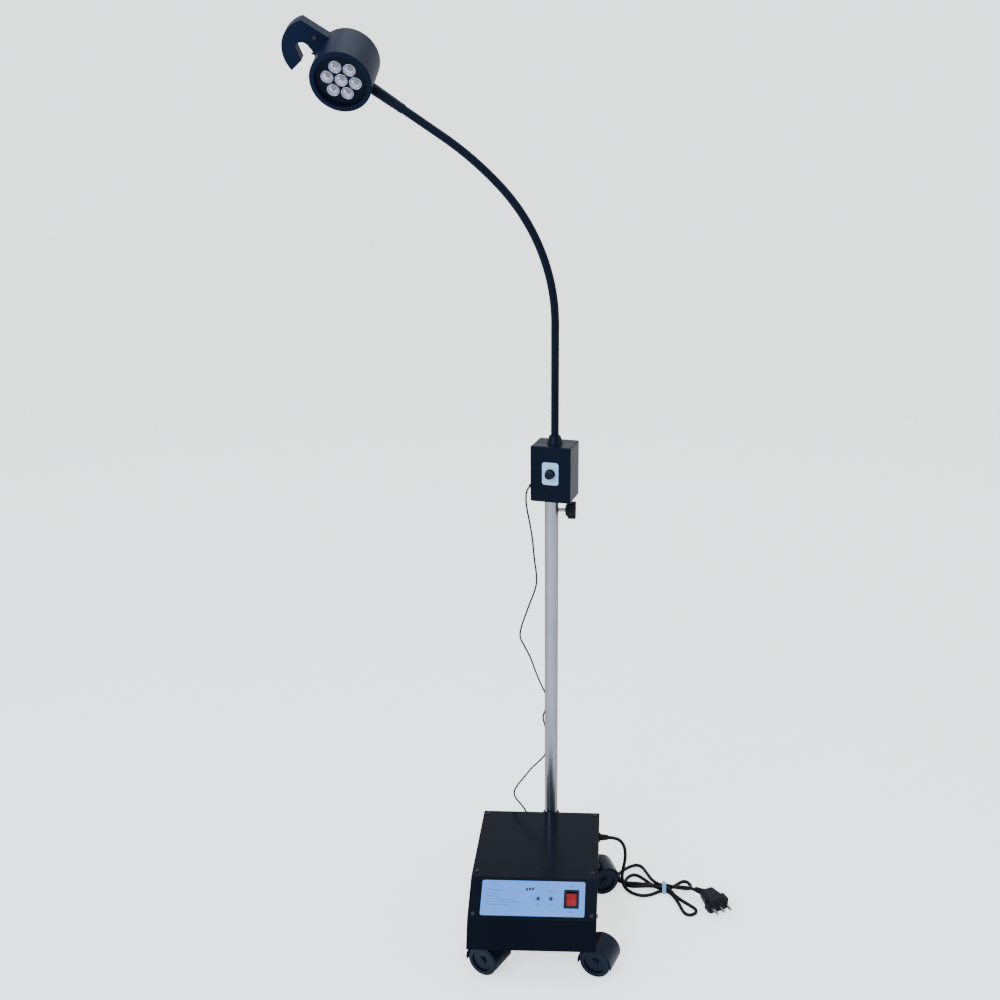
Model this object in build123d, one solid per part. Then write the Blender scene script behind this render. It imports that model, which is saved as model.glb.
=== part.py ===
from build123d import *
import math
import os

# Mobile examination lamp: a wheeled sheet-metal base with a battery, an aluminium pole, a
# control box on a sliding mast, a gooseneck arm and a round LED head with a parking hook.
# Millimetres, +Z up, -Y is the front with the switch panel. The origin is on the floor, midway
# between the four caster stems.

# ---------------------------------------------------------------- driving dimensions
# base cabinet
BASE_WIDTH = 200.0
SHEET = 1.5
REAR_Y = 131.0          # outer face of the rear panel
TOP_Z = 130.0           # outer face of the cabinet top
TOP_DEPTH = 184.0       # level top, from the rear to the break above the switch panel
PANEL_RUN = 58.0        # switch panel, horizontal run and drop
PANEL_DROP = 35.0
LIP_RUN = 20.0          # plain front below the switch panel
LIP_DROP = 41.0
TRAY_Z = 58.0           # underside of the bottom tray
TRAY_FLANGE = 12.0
FLANGE_WIDTH = 14.0     # folded edge of the side panels, under the cover
SCREW_INSET = 8.0
SCREW_D = 3.0
SCREW_HOLE_D = 3.4
SCREW_HEAD_D = 6.0
SCREW_HEAD_H = 1.8

# casters
WHEEL_D = 50.0
WHEEL_WIDTH = 17.0
WHEEL_GAP = 7.0
STEM_X = 86.0
STEM_Y = 95.0
CASTER_TRAIL = 20.0
HOOD_WALL = 2.0
HOOD_GAP = 1.0
AXLE_D = 6.0
STEM_D = 10.0
STEM_LENGTH = 22.0
SOCKET_D = 18.0

# switch panel
LABEL_WIDTH = 162.0
LABEL_HEIGHT = 56.0
LABEL_T = 0.8
SWITCH_X = 60.0
SWITCH_WIDTH = 23.0
SWITCH_HEIGHT = 29.0
SWITCH_RIM = 2.0
SWITCH_DEPTH = 20.0
ROCKER_TILT = 12.0
LIGHT_D = 5.0
LIGHT_XS = (8.0, 28.0)

# pole and mast
POLE_X = 15.0
POLE_D = 22.0
POLE_WALL = 1.5
POLE_STANDOFF = 2.0     # clamp plate between the rear panel and the pole
POLE_FOOT_Z = 64.0
POLE_TOP_Z = 694.0
MAST_D = 16.0
MAST_WALL = 1.2
MAST_ENGAGED = 320.0
MAST_INTO_BOX = 9.0
BUSH_LENGTH = 34.0
BUSH_FLANGE = 2.5
CLAMP_DROP = 16.0       # clamp screw axis below the pole top
CLAMP_SCREW_D = 6.0
CLAMP_KNOB_D = 29.0
CLAMP_KNOB_LENGTH = 17.0

# control box
BOX_X = 20.0
BOX_WIDTH = 65.0
BOX_DEPTH = 54.0
BOX_HEIGHT = 90.0
BOX_LID = 8.0
BOX_WALL = 2.2
BOX_TURN = -12.0        # degrees about the pole, seen from above
BOX_RISE = 2.0          # underside of the box above the pole bush
DIAL_WIDTH = 26.0
DIAL_HEIGHT = 36.0
DIAL_T = 0.8
DIMMER_D = 13.0
DIMMER_HEIGHT = 11.0

# gooseneck
NECK_D = 13.0
NECK_STRAIGHT = 186.5
NECK_R1 = 290.0
NECK_TURN1 = 44.0
NECK_R2 = 480.0
NECK_TURN2 = 13.0
NECK_LAST = 161.3       # straight end, to the middle of the head
FERRULE_D = 16.4
FERRULE_LENGTH = 52.0
COLLAR_HEIGHT = 12.0
JOINT_STATIONS = (75.0, 170.0, 265.0, 360.0, 455.0, 550.0)
JOINT_LIMIT = 25.0

# head
HEAD_D = 88.0
HEAD_LENGTH = 80.0
HEAD_WALL = 2.5
HEAD_DROP = 28.0        # beam below the horizontal, degrees
RIM_WIDTH = 7.0
FACE_RECESS = 7.0
LENS_PITCH = 20.0
LENS_D = 17.0
HOOK_THICKNESS = 18.0

# cords
MAINS_D = 6.0
RELIEF_LENGTH = 16.0
LEAD_RELIEF = 8.0
CORD_IN_BORE = 3.0      # how far a cord reaches into the mouth of its relief
LEAD_D = 3.0

# fits
RUN = 0.05              # radial clearance of a turning or sliding fit
GAP = 0.3               # between moving pieces that do not guide each other
SEAT = 0.05             # round piece in a round seat, fixed

# ---------------------------------------------------------------- derived places
HALF = BASE_WIDTH / 2
BREAK_Y = REAR_Y - TOP_DEPTH
PANEL_FOOT_Y = BREAK_Y - PANEL_RUN
PANEL_FOOT_Z = TOP_Z - PANEL_DROP
LIP_Y = PANEL_FOOT_Y - LIP_RUN
LIP_Z = PANEL_FOOT_Z - LIP_DROP
POLE_Y = REAR_Y + POLE_STANDOFF + POLE_D / 2
BOX_Z = POLE_TOP_Z + BUSH_FLANGE + BOX_RISE
BOX_TOP_Z = BOX_Z + BOX_HEIGHT
CLAMP_Z = POLE_TOP_Z - CLAMP_DROP
MAST_INNER_R = MAST_D / 2 - MAST_WALL
POLE_INNER_R = POLE_D / 2 - POLE_WALL

pieces = {}


def keep(name, *solids):
    """Collect the solids of one node."""
    found = []
    for item in solids:
        found.extend(item.solids())
    pieces.setdefault(name, []).extend(found)


def tube(outer_r, inner_r, length, z=0.0):
    """Upright round tube from z upwards."""
    body = Pos(0, 0, z) * Cylinder(outer_r, length, align=(Align.CENTER, Align.CENTER, Align.MIN))
    if inner_r > 0:
        body -= Pos(0, 0, z - 1) * Cylinder(
            inner_r, length + 2, align=(Align.CENTER, Align.CENTER, Align.MIN)
        )
    return body


def disc(radius, length, z=0.0):
    """Upright solid cylinder from z upwards."""
    return tube(radius, 0.0, length, z)


def slab(x, y, z, at=(0, 0, 0)):
    """Rectangular block, centred on at."""
    return Pos(*at) * Box(x, y, z)


def shifted(points, distance):
    """The same bent line moved sideways by distance, to the left of its run, mitred."""
    lines = []
    for (y0, z0), (y1, z1) in zip(points, points[1:]):
        run = math.hypot(y1 - y0, z1 - z0)
        dy, dz = (y1 - y0) / run, (z1 - z0) / run
        lines.append(((y0 - dz * distance, z0 + dy * distance), (dy, dz)))
    moved = [lines[0][0]]
    for ((ay, az), (ady, adz)), ((by, bz), (bdy, bdz)) in zip(lines, lines[1:]):
        t = ((by - ay) * bdz - (bz - az) * bdy) / (ady * bdz - adz * bdy)
        moved.append((ay + ady * t, az + adz * t))
    (ly, lz), (ldy, ldz) = lines[-1]
    last = math.hypot(points[-1][0] - points[-2][0], points[-1][1] - points[-2][1])
    moved.append((ly + ldy * last, lz + ldz * last))
    return moved


def side_plate(outline, x_from, x_to):
    """A closed outline in Y and Z, extruded from x_from to x_to."""
    face = make_face(Polyline(*outline, close=True))
    return Pos(x_from, 0, 0) * extrude(Plane.YZ * face, x_to - x_from)


def sheet_screw(plane):
    """Pan-head screw with a cross slot, its head on the plane and its shank below."""
    head = disc(SCREW_HEAD_D / 2, SCREW_HEAD_H)
    head = fillet(head.edges().group_by(Axis.Z)[-1], SCREW_HEAD_H * 0.6)
    slot = slab(SCREW_HEAD_D * 0.6, 0.8, 1.6, (0, 0, SCREW_HEAD_H))
    cross = slot + Rot(0, 0, 90) * slot
    return plane * (head - cross + disc(SCREW_D / 2, 6.5, -6.5))


def screw_hole(plane, d=SCREW_HOLE_D):
    """Cutter for a sheet screw's hole."""
    return plane * disc(d / 2, 16, -8)


# ---------------------------------------------------------------- base cabinet
OUTER = [
    (REAR_Y, TOP_Z),
    (BREAK_Y, TOP_Z),
    (PANEL_FOOT_Y, PANEL_FOOT_Z),
    (LIP_Y, LIP_Z),
]
INNER = shifted(OUTER, SHEET)
INNER2 = shifted(INNER, SHEET)
FOLD_REAR_Y = REAR_Y - SHEET - GAP
FOLD = [(FOLD_REAR_Y, INNER[0][1])] + INNER[1:] + INNER2[:0:-1] + [(FOLD_REAR_Y, INNER2[0][1])]

PANEL_LENGTH = math.hypot(PANEL_RUN, PANEL_DROP)
PANEL = Plane(
    origin=(0, BREAK_Y - PANEL_RUN / 2, TOP_Z - PANEL_DROP / 2),
    x_dir=(1, 0, 0),
    z_dir=(0, -PANEL_DROP / PANEL_LENGTH, PANEL_RUN / PANEL_LENGTH),
)
SWITCH = PANEL * Pos(SWITCH_X, 0, 0)


def cover_screw_planes():
    """Where the cover is screwed to the side panels' folded edges."""
    places = []
    for side in (-1, 1):
        x = side * (HALF - SCREW_INSET)
        places.append(Plane(origin=(x, REAR_Y - SCREW_INSET, TOP_Z)))
        places.append(Plane(origin=(x, BREAK_Y + 14, TOP_Z)))
        places.append(PANEL * Pos(x, -PANEL_LENGTH / 2 + SCREW_INSET, 0))
    return [place if isinstance(place, Plane) else Plane(place) for place in places]


def tray_screw_planes():
    """Where the side and rear panels are screwed to the tray's flanges."""
    z = TRAY_Z + SHEET + TRAY_FLANGE / 2
    places = []
    for y in (-60.0, 70.0):
        places.append(Plane(origin=(HALF, y, z), x_dir=(0, 1, 0), z_dir=(1, 0, 0)))
        places.append(Plane(origin=(-HALF, y, z), x_dir=(0, 1, 0), z_dir=(-1, 0, 0)))
    for x in (-70.0, 70.0):
        places.append(Plane(origin=(x, REAR_Y, z), x_dir=(1, 0, 0), z_dir=(0, 1, 0)))
    return places


COVER_SCREWS = cover_screw_planes()
TRAY_SCREWS = tray_screw_planes()


def cover_sheet():
    """One bent sheet: level top, sloping switch panel and front lip."""
    body = side_plate(OUTER + INNER[::-1], -HALF, HALF)
    body -= SWITCH * slab(SWITCH_WIDTH - 2 * SWITCH_RIM, SWITCH_HEIGHT - 2 * SWITCH_RIM, 12)
    for x in LIGHT_XS:
        body -= PANEL * Pos(x, 0, 0) * disc(LIGHT_D / 2 + SEAT, 12, -6)
    for place in COVER_SCREWS:
        body -= screw_hole(place)
    return body


def side_panel(side):
    """Flat cheek with a folded edge under the cover."""
    outline = INNER + [(REAR_Y, LIP_Z)]
    outer_x = side * HALF
    wall_x = side * (HALF - SHEET)
    fold_x = side * (HALF - SHEET - FLANGE_WIDTH)
    body = side_plate(outline, min(outer_x, wall_x), max(outer_x, wall_x))
    body += side_plate(FOLD, min(fold_x, wall_x), max(fold_x, wall_x))
    for place in COVER_SCREWS + TRAY_SCREWS:
        body -= screw_hole(place)
    if side > 0:
        body -= MAINS_EXIT * disc(MAINS_D / 2 + 2.2, 12, -6)
    return body


MAINS_EXIT = Plane(origin=(HALF, 98, 104), x_dir=(0, 1, 0), z_dir=(1, 0, 0))
LEAD_EXIT = Plane(origin=(-24, REAR_Y, 90), x_dir=(1, 0, 0), z_dir=(0, 1, 0))


def rear_panel():
    """Rear sheet with cooling slots."""
    height = TOP_Z - SHEET - TRAY_Z
    body = slab(
        BASE_WIDTH - 2 * SHEET - 0.4, SHEET, height,
        (0, REAR_Y - SHEET / 2, TRAY_Z + height / 2),
    )
    for row in range(4):
        body -= slab(36, 8, 3, (-62, REAR_Y, TRAY_Z + 30 + 9 * row))
        body -= slab(36, 8, 3, (66, REAR_Y, TRAY_Z + 30 + 9 * row))
    body -= LEAD_EXIT * disc(LEAD_D / 2 + 2.2, 12, -6)
    for place in TRAY_SCREWS + BRACKET_BOLTS:
        body -= screw_hole(place)
    return body


def base_tray():
    """Bottom tray with an upturned flange on three sides."""
    lip_slope = LIP_RUN / LIP_DROP
    front_y = INNER2[3][0] + lip_slope * (TRAY_Z + SHEET - INNER2[3][1]) + GAP
    rear_y = REAR_Y - SHEET
    inner_half = HALF - SHEET
    depth = rear_y - front_y
    mid_y = (rear_y + front_y) / 2
    flange_z = TRAY_Z + SHEET + TRAY_FLANGE / 2
    body = slab(2 * inner_half, depth, SHEET, (0, mid_y, TRAY_Z + SHEET / 2))
    for side in (-1, 1):
        wall_x = side * (inner_half - SHEET / 2)
        body += slab(SHEET, depth - 2 * FLANGE_WIDTH, TRAY_FLANGE, (wall_x, mid_y, flange_z))
    body += slab(2 * inner_half - 60, SHEET, TRAY_FLANGE, (0, rear_y - SHEET / 2, flange_z))
    for x in (-STEM_X, STEM_X):
        for y in (-STEM_Y, STEM_Y):
            body -= Pos(x, y, TRAY_Z - 1) * disc(SOCKET_D / 2 - 3, 8)
    for place in TRAY_SCREWS:
        body -= screw_hole(place)
    return body


# ---------------------------------------------------------------- switch panel fittings
def panel_label():
    """Rounded plate stuck on the switch panel."""
    outline = fillet(Rectangle(LABEL_WIDTH, LABEL_HEIGHT).vertices(), 3)
    body = extrude(outline, LABEL_T)
    body -= Pos(SWITCH_X, 0, 0) * Box(SWITCH_WIDTH + 0.4, SWITCH_HEIGHT + 0.4, 6)
    for x in LIGHT_XS:
        body -= Pos(x, 0, -2) * disc(LIGHT_D / 2 + SEAT, 6)
    return PANEL * body


def switch_bezel():
    """Rocker switch frame: a rim on the panel and a body with terminals behind it."""
    rim = extrude(fillet(Rectangle(SWITCH_WIDTH, SWITCH_HEIGHT).vertices(), 1.5), 2.2)
    inner = (SWITCH_WIDTH - 2 * SWITCH_RIM - 0.4, SWITCH_HEIGHT - 2 * SWITCH_RIM - 0.4)
    can = slab(inner[0], inner[1], SWITCH_DEPTH, (0, 0, -SWITCH_DEPTH / 2))
    body = rim + can
    body -= slab(inner[0] - 2.4, inner[1] - 2.4, 14 + 2.2, (0, 0, (2.2 - 14) / 2))
    for y in (-7, 0, 7):
        body += slab(4.8, 0.8, 9, (0, y, -SWITCH_DEPTH - 4.5))
    return SWITCH * body


ROCKER_WIDTH = SWITCH_WIDTH - 2 * SWITCH_RIM - 2.4 - 0.4 - 2 * GAP
ROCKER_LENGTH = SWITCH_HEIGHT - 2 * SWITCH_RIM - 2.4 - 0.4 - 2 * 1.8
ROCKER_AXIS_Z = -4.0


def switch_rocker():
    """Rocker with two faces that meet in a shallow valley, tipped to its off side."""
    half = ROCKER_LENGTH / 2
    outline = [(-half, 5.4), (0, 3.4), (half, 5.4), (half - 1.5, -1.5), (0, -4.5), (-half + 1.5, -1.5)]
    face = make_face(Polyline(*outline, close=True))
    body = extrude(Plane.YZ * face, ROCKER_WIDTH / 2, both=True)
    pin = Rot(0, 90, 0) * Cylinder(1.2, ROCKER_WIDTH)
    return SWITCH * Pos(0, 0, ROCKER_AXIS_Z) * Rot(ROCKER_TILT, 0, 0) * (body + pin)


def indicator_lights():
    """Two small domed light-emitting diodes."""
    lamp = disc(LIGHT_D / 2, 5, -4) + Pos(0, 0, 1) * Sphere(LIGHT_D / 2)
    lamp += disc(LIGHT_D / 2 + 0.8, 1.0, -SHEET - 1.0)
    return [PANEL * Pos(x, 0, 0) * lamp for x in LIGHT_XS]


# ---------------------------------------------------------------- inside the base
def battery():
    """Sealed lead-acid block with two spade terminals."""
    case = Box(151, 65, 60, align=(Align.CENTER, Align.CENTER, Align.MIN))
    case = fillet(case.edges().filter_by(Axis.Z), 3)
    case -= slab(146, 60, 1.2, (0, 0, 60))
    terminal = slab(6.3, 0.8, 6, (0, 0, 61.5))
    case += Pos(-60, 20, 0) * terminal
    case += Pos(60, 20, 0) * terminal
    return Pos(0, 78, TRAY_Z + SHEET) * case


def power_board():
    """Charger board on four pillars, with its transformer and capacitors."""
    z = TRAY_Z + SHEET
    board = slab(120, 60, 1.6, (0, 0, 8.8))
    for x in (-55, 55):
        for y in (-25, 25):
            board += Pos(x, y, 0) * disc(2.5, 8)
    core = slab(42, 36, 26, (-28, 0, 9.6 + 13))
    winding = slab(28, 44, 18, (-28, 0, 9.6 + 13))
    board += core + winding
    for x in (12, 28, 44):
        board += Pos(x, 12, 9.6) * disc(5, 14)
    board += slab(30, 3, 22, (28, -16, 9.6 + 11))
    return Pos(0, -42, z) * board


# ---------------------------------------------------------------- pole bracket and glands
BRACKET_PLATE = (64.0, 60.0)
BRACKET_BOLT = 20.0
BRACKET_MID_Z = 95.0


def bracket_bolt_planes():
    """Four bolts of the pole bracket, in the rear panel."""
    places = []
    for x in (-24, 24):
        for z in (-BRACKET_BOLT, BRACKET_BOLT):
            origin = (POLE_X + x, REAR_Y + POLE_STANDOFF, BRACKET_MID_Z + z)
            places.append(Plane(origin=origin, x_dir=(1, 0, 0), z_dir=(0, 1, 0)))
    return places


BRACKET_BOLTS = bracket_bolt_planes()


def pole_bracket():
    """Back plate, two collars round the pole and a foot that it stands on."""
    plate = slab(
        BRACKET_PLATE[0], POLE_STANDOFF, BRACKET_PLATE[1],
        (POLE_X, REAR_Y + POLE_STANDOFF / 2, BRACKET_MID_Z),
    )
    bore_r = POLE_D / 2 + SEAT
    body = plate
    for z in (POLE_FOOT_Z + 4, BRACKET_MID_Z + 13):
        ring = tube(bore_r + 3, 0, 14, z)
        ring += slab(2 * bore_r + 6, POLE_D / 2 + 1, 14, (0, -POLE_D / 4 - 0.5, z + 7))
        body += Pos(POLE_X, POLE_Y, 0) * ring
    body += Pos(POLE_X, POLE_Y, 0) * disc(bore_r + 3, 4, POLE_FOOT_Z - 3)
    web_y = (REAR_Y + POLE_Y) / 2
    body += slab(2 * bore_r + 6, POLE_Y - REAR_Y, 4, (POLE_X, web_y, POLE_FOOT_Z - 1))
    body -= Pos(POLE_X, POLE_Y, 0) * disc(bore_r, 200, POLE_FOOT_Z)
    body -= slab(4 * POLE_D, POLE_D, 100, (POLE_X, REAR_Y - POLE_D / 2, BRACKET_MID_Z))
    for place in BRACKET_BOLTS:
        body -= screw_hole(place)
    return body


def base_glands():
    """Tapered relief of the mains cord and the small grommet of the lamp lead."""
    relief = Cone(
        MAINS_D / 2 + 3.2, MAINS_D / 2 + 1.2, RELIEF_LENGTH,
        align=(Align.CENTER, Align.CENTER, Align.MIN),
    )
    relief += disc(MAINS_D / 2 + 5, 2) + disc(MAINS_D / 2 + 2, 6, -6)
    relief += disc(MAINS_D / 2 + 4, 2, -SHEET - 2)
    relief -= disc(MAINS_D / 2 + SEAT, 2 * RELIEF_LENGTH + 20, -20)
    grommet = disc(LEAD_D / 2 + 3.5, 1.5) + disc(LEAD_D / 2 + 2, 6, -6)
    grommet += Cone(
        LEAD_D / 2 + 2.4, LEAD_D / 2 + 1, LEAD_RELIEF,
        align=(Align.CENTER, Align.CENTER, Align.MIN),
    )
    grommet += disc(LEAD_D / 2 + 3.5, 1.5, -SHEET - 1.5)
    grommet -= disc(LEAD_D / 2 + SEAT, 30, -15)
    return MAINS_EXIT * relief, LEAD_EXIT * grommet


# ---------------------------------------------------------------- casters
CASTERS = {
    "front_left": (-STEM_X, -STEM_Y, -27.0),
    "front_right": (STEM_X, -STEM_Y, -20.0),
    "rear_left": (-STEM_X, STEM_Y, 12.0),
    "rear_right": (STEM_X, STEM_Y, 20.0),
}
AXLE_Z = WHEEL_D / 2
CASTER_WIDTH = 2 * WHEEL_WIDTH + WHEEL_GAP


def caster_place(name):
    """The caster's own frame: its stem on Z, trailing along X."""
    x, y, turn = CASTERS[name]
    return Pos(x, y, 0) * Rot(0, 0, turn)


def caster_yoke():
    """Centre web, curved hood over both wheels, axle pin and stem."""
    hood_r = WHEEL_D / 2 + HOOD_GAP
    web_t = WHEEL_GAP - 2 * 0.8
    about = Pos(CASTER_TRAIL, 0, AXLE_Z) * Rot(90, 0, 0)
    web = about * Cylinder(hood_r + HOOD_WALL, web_t)
    shell = about * (Cylinder(hood_r + HOOD_WALL, CASTER_WIDTH + 2) - Cylinder(hood_r, CASTER_WIDTH + 4))
    body = web + shell
    body -= slab(4 * WHEEL_D, 100, WHEEL_D, (CASTER_TRAIL, 0, AXLE_Z - WHEEL_D / 2 - 4))
    body += about * Cylinder(AXLE_D / 2 + 3, web_t)
    body += about * Cylinder(AXLE_D / 2, CASTER_WIDTH + 1)
    body += disc(STEM_D / 2 + 3, TRAY_Z - GAP - 34, 34)
    body -= about * (Cylinder(hood_r, CASTER_WIDTH + 4) - Cylinder(hood_r + 1, web_t) - Cylinder(AXLE_D / 2, 80))
    body += disc(STEM_D / 2, STEM_LENGTH - 3, TRAY_Z - GAP - 1)
    return body


def caster_wheels():
    """Two wheels with a rounded tread and a dished face, each a separate solid."""
    found = []
    wheel = Cylinder(WHEEL_D / 2, WHEEL_WIDTH)
    wheel = fillet(wheel.edges(), 2.5)
    wheel -= Pos(0, 0, WHEEL_WIDTH / 2) * (Cylinder(17, 5) - Cylinder(6, 5))
    wheel -= Cylinder(AXLE_D / 2 + RUN, WHEEL_WIDTH + 2)
    for side in (-1, 1):
        offset = side * (WHEEL_WIDTH + WHEEL_GAP) / 2
        turn = Rot(90, 0, 0) if side < 0 else Rot(-90, 0, 0)
        found.append(Pos(CASTER_TRAIL, offset, AXLE_Z) * turn * wheel)
    return found


def caster_sockets():
    """Four flanged sockets riveted in the tray, one for each stem."""
    socket = disc(SOCKET_D / 2 - 3 - SEAT, SHEET + 0.6, TRAY_Z)
    socket += disc(SOCKET_D / 2, STEM_LENGTH, TRAY_Z + SHEET)
    socket += disc(SOCKET_D / 2 + 1, 2, TRAY_Z + SHEET)
    socket -= disc(STEM_D / 2 + RUN, STEM_LENGTH - 1, TRAY_Z - 1)
    return [Pos(x, y, 0) * socket for x, y, _ in CASTERS.values()]


# ---------------------------------------------------------------- pole and mast
POLE = Pos(POLE_X, POLE_Y, 0)
CLAMP = Plane(origin=(POLE_X, POLE_Y, CLAMP_Z), x_dir=(0, 1, 0), z_dir=(1, 0, 0))
CLAMP_HOLE_R = CLAMP_SCREW_D / 2 + RUN
PAD_FROM = MAST_D / 2 + 0.15
PAD_TO = POLE_D / 2 + 0.85      # the pad's pin ends just outside the pole


def pole():
    """Aluminium tube, drilled for the clamp screw."""
    body = tube(POLE_D / 2, POLE_INNER_R, POLE_TOP_Z - POLE_FOOT_Z, POLE_FOOT_Z)
    body = POLE * body
    return body - CLAMP * disc(CLAMP_HOLE_R, POLE_D, 0)


def pole_bush():
    """Flanged guide in the pole's top, with a pocket for the clamp pad."""
    sleeve_r = POLE_INNER_R - SEAT
    body = tube(sleeve_r, MAST_D / 2 + RUN, BUSH_LENGTH, POLE_TOP_Z - BUSH_LENGTH)
    body += tube(POLE_D / 2, MAST_D / 2 + RUN, BUSH_FLANGE, POLE_TOP_Z)
    body = POLE * body
    return body - CLAMP * disc(CLAMP_HOLE_R + 0.2, POLE_D, 0)


def mast_tube():
    """Inner tube that slides in the pole and carries the control box."""
    low = POLE_TOP_Z - MAST_ENGAGED
    body = tube(MAST_D / 2, MAST_INNER_R, BOX_Z + MAST_INTO_BOX - low, low)
    return POLE * body


def clamp_pad():
    """Hollow-ended pin that the clamp screw pushes through the pole against the mast tube."""
    pad = disc(CLAMP_SCREW_D / 2, PAD_TO - PAD_FROM, PAD_FROM)
    pad -= Rot(0, 90, 0) * Cylinder(PAD_FROM, 20)
    return CLAMP * pad


def clamp_knob():
    """Lobed plastic knob on a steel screw."""
    first = PAD_TO + 0.1
    knob_from = POLE_D / 2 + 11.0
    screw = disc(CLAMP_SCREW_D / 2, knob_from + 4 - first, first)
    knob = disc(CLAMP_KNOB_D / 2 - 2, CLAMP_KNOB_LENGTH, knob_from)
    knob = chamfer(knob.edges().group_by(Axis.Z)[0], 4.5)
    for step in range(6):
        knob += Rot(0, 0, 60 * step) * Pos(CLAMP_KNOB_D / 2 - 4, 0, knob_from + 4.5) * Cylinder(
            4, CLAMP_KNOB_LENGTH - 4.5, align=(Align.CENTER, Align.CENTER, Align.MIN)
        )
    return CLAMP * (screw + knob)


# ---------------------------------------------------------------- control box
BOX = Pos(BOX_X, POLE_Y, BOX_Z) * Rot(0, 0, BOX_TURN)
BOX_FRONT = -BOX_DEPTH / 2
BOX_REAR = BOX_DEPTH / 2
DIAL_Z = BOX_HEIGHT / 2 + 2
DIAL = BOX * Plane(origin=(0, BOX_FRONT, DIAL_Z), x_dir=(1, 0, 0), z_dir=(0, -1, 0)).location
LEAD_PORT = BOX * Pos(-BOX_WIDTH / 2, 6, 20)


def box_corner_posts():
    """Where the four lid screws run, in the box's own frame."""
    x, z = BOX_WIDTH / 2 - 6, BOX_HEIGHT / 2 - 6
    return [(i * x, BOX_HEIGHT / 2 + k * z) for i in (-1, 1) for k in (-1, 1)]


def box_shell():
    """Front casing of the control box, open to the rear."""
    depth = BOX_DEPTH - BOX_LID
    mid_y = BOX_FRONT + depth / 2
    outer = slab(BOX_WIDTH, depth, BOX_HEIGHT, (0, mid_y, BOX_HEIGHT / 2))
    outer = fillet(outer.edges().filter_by(Axis.Y), 2.5)
    outer = fillet(outer.faces().sort_by(Axis.Y)[0].edges(), 1.0)
    inner = slab(
        BOX_WIDTH - 2 * BOX_WALL, depth, BOX_HEIGHT - 2 * BOX_WALL,
        (0, mid_y + BOX_WALL, BOX_HEIGHT / 2),
    )
    body = outer - inner
    for x, z in box_corner_posts():
        post = Pos(x, BOX_FRONT + BOX_WALL / 2, z) * Rot(-90, 0, 0) * disc(4, depth - BOX_WALL / 2)
        body += post - Pos(x, BOX_REAR - BOX_LID - 12, z) * Rot(-90, 0, 0) * disc(SCREW_HOLE_D / 2, 20)
    body = BOX * body
    body -= DIAL * disc(4.2, 20, -10)
    body -= POLE * disc(MAST_D / 2 + SEAT, 40, BOX_Z - 10)
    body -= Pos(BOX_X, POLE_Y, BOX_TOP_Z - 10) * disc(NECK_D / 2 + 2 * RUN, 20)
    body -= LEAD_PORT * Rot(0, 90, 0) * Cylinder(LEAD_D / 2 + 2, 12)
    return body


def box_lid():
    """Rear cover with a shallow lip that fits in the casing."""
    lid = slab(BOX_WIDTH, BOX_LID, BOX_HEIGHT, (0, BOX_REAR - BOX_LID / 2, BOX_HEIGHT / 2))
    lid = fillet(lid.edges().filter_by(Axis.Y), 2.5)
    lid = fillet(lid.faces().sort_by(Axis.Y)[-1].edges(), 1.2)
    lid -= slab(
        BOX_WIDTH - 2 * BOX_WALL, BOX_LID, BOX_HEIGHT - 2 * BOX_WALL,
        (0, BOX_REAR - BOX_LID / 2 - BOX_WALL, BOX_HEIGHT / 2),
    )
    for x, z in box_corner_posts():
        lid += Pos(x, BOX_REAR - BOX_LID, z) * Rot(-90, 0, 0) * disc(4, BOX_LID - BOX_WALL / 2)
        lid -= Pos(x, BOX_REAR - BOX_LID - 4, z) * Rot(-90, 0, 0) * disc(SCREW_HOLE_D / 2, 20)
    return BOX * lid


def lid_screws():
    """Four screws through the lid into the casing's posts."""
    found = []
    for x, z in box_corner_posts():
        place = BOX * Plane(origin=(x, BOX_REAR, z), x_dir=(1, 0, 0), z_dir=(0, 1, 0)).location
        screw = disc(SCREW_HEAD_D / 2, SCREW_HEAD_H) - slab(4, 0.8, 1.6, (0, 0, SCREW_HEAD_H))
        found.append(place * (screw + disc(SCREW_D / 2, 18, -18)))
    return found


def mast_socket():
    """Flange nut inside the box that holds the mast tube."""
    body = tube(MAST_D / 2 + 4, MAST_D / 2 + SEAT, MAST_INTO_BOX - BOX_WALL, BOX_Z + BOX_WALL)
    body += tube(MAST_D / 2 + 7, MAST_D / 2 + SEAT, 2, BOX_Z + BOX_WALL)
    return POLE * body


def dial_plate():
    """Rounded plate behind the dimmer knob."""
    face = fillet(Rectangle(DIAL_WIDTH, DIAL_HEIGHT).vertices(), 4)
    return DIAL * (extrude(face, DIAL_T) - disc(4.2, 6, -3))


def dimmer_pot():
    """Potentiometer: round can, threaded neck and nut inside the box wall."""
    body = disc(8.5, 9, -BOX_WALL - 9) + disc(3.8, BOX_WALL + 0.4, -BOX_WALL)
    body += slab(12, 1.2, 8, (0, -9, -BOX_WALL - 5))
    body -= disc(3 + RUN, 9, -BOX_WALL - 4)
    return DIAL * body


def dimmer_knob():
    """Dimmer knob with a pointer ridge and its shaft."""
    knob = disc(DIMMER_D / 2, DIMMER_HEIGHT, DIAL_T + GAP)
    knob = fillet(knob.edges().group_by(Axis.Z)[-1], 1.2)
    knob += disc(DIMMER_D / 2 + 1.5, 2, DIAL_T + GAP)
    knob += slab(DIMMER_D / 2 + 1, 2, 2.5, (DIMMER_D / 4 + 0.5, 0, DIAL_T + GAP + DIMMER_HEIGHT))
    shaft = disc(3, BOX_WALL + 4 + DIAL_T, -BOX_WALL - 3)
    return DIAL * (knob + shaft)


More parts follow.
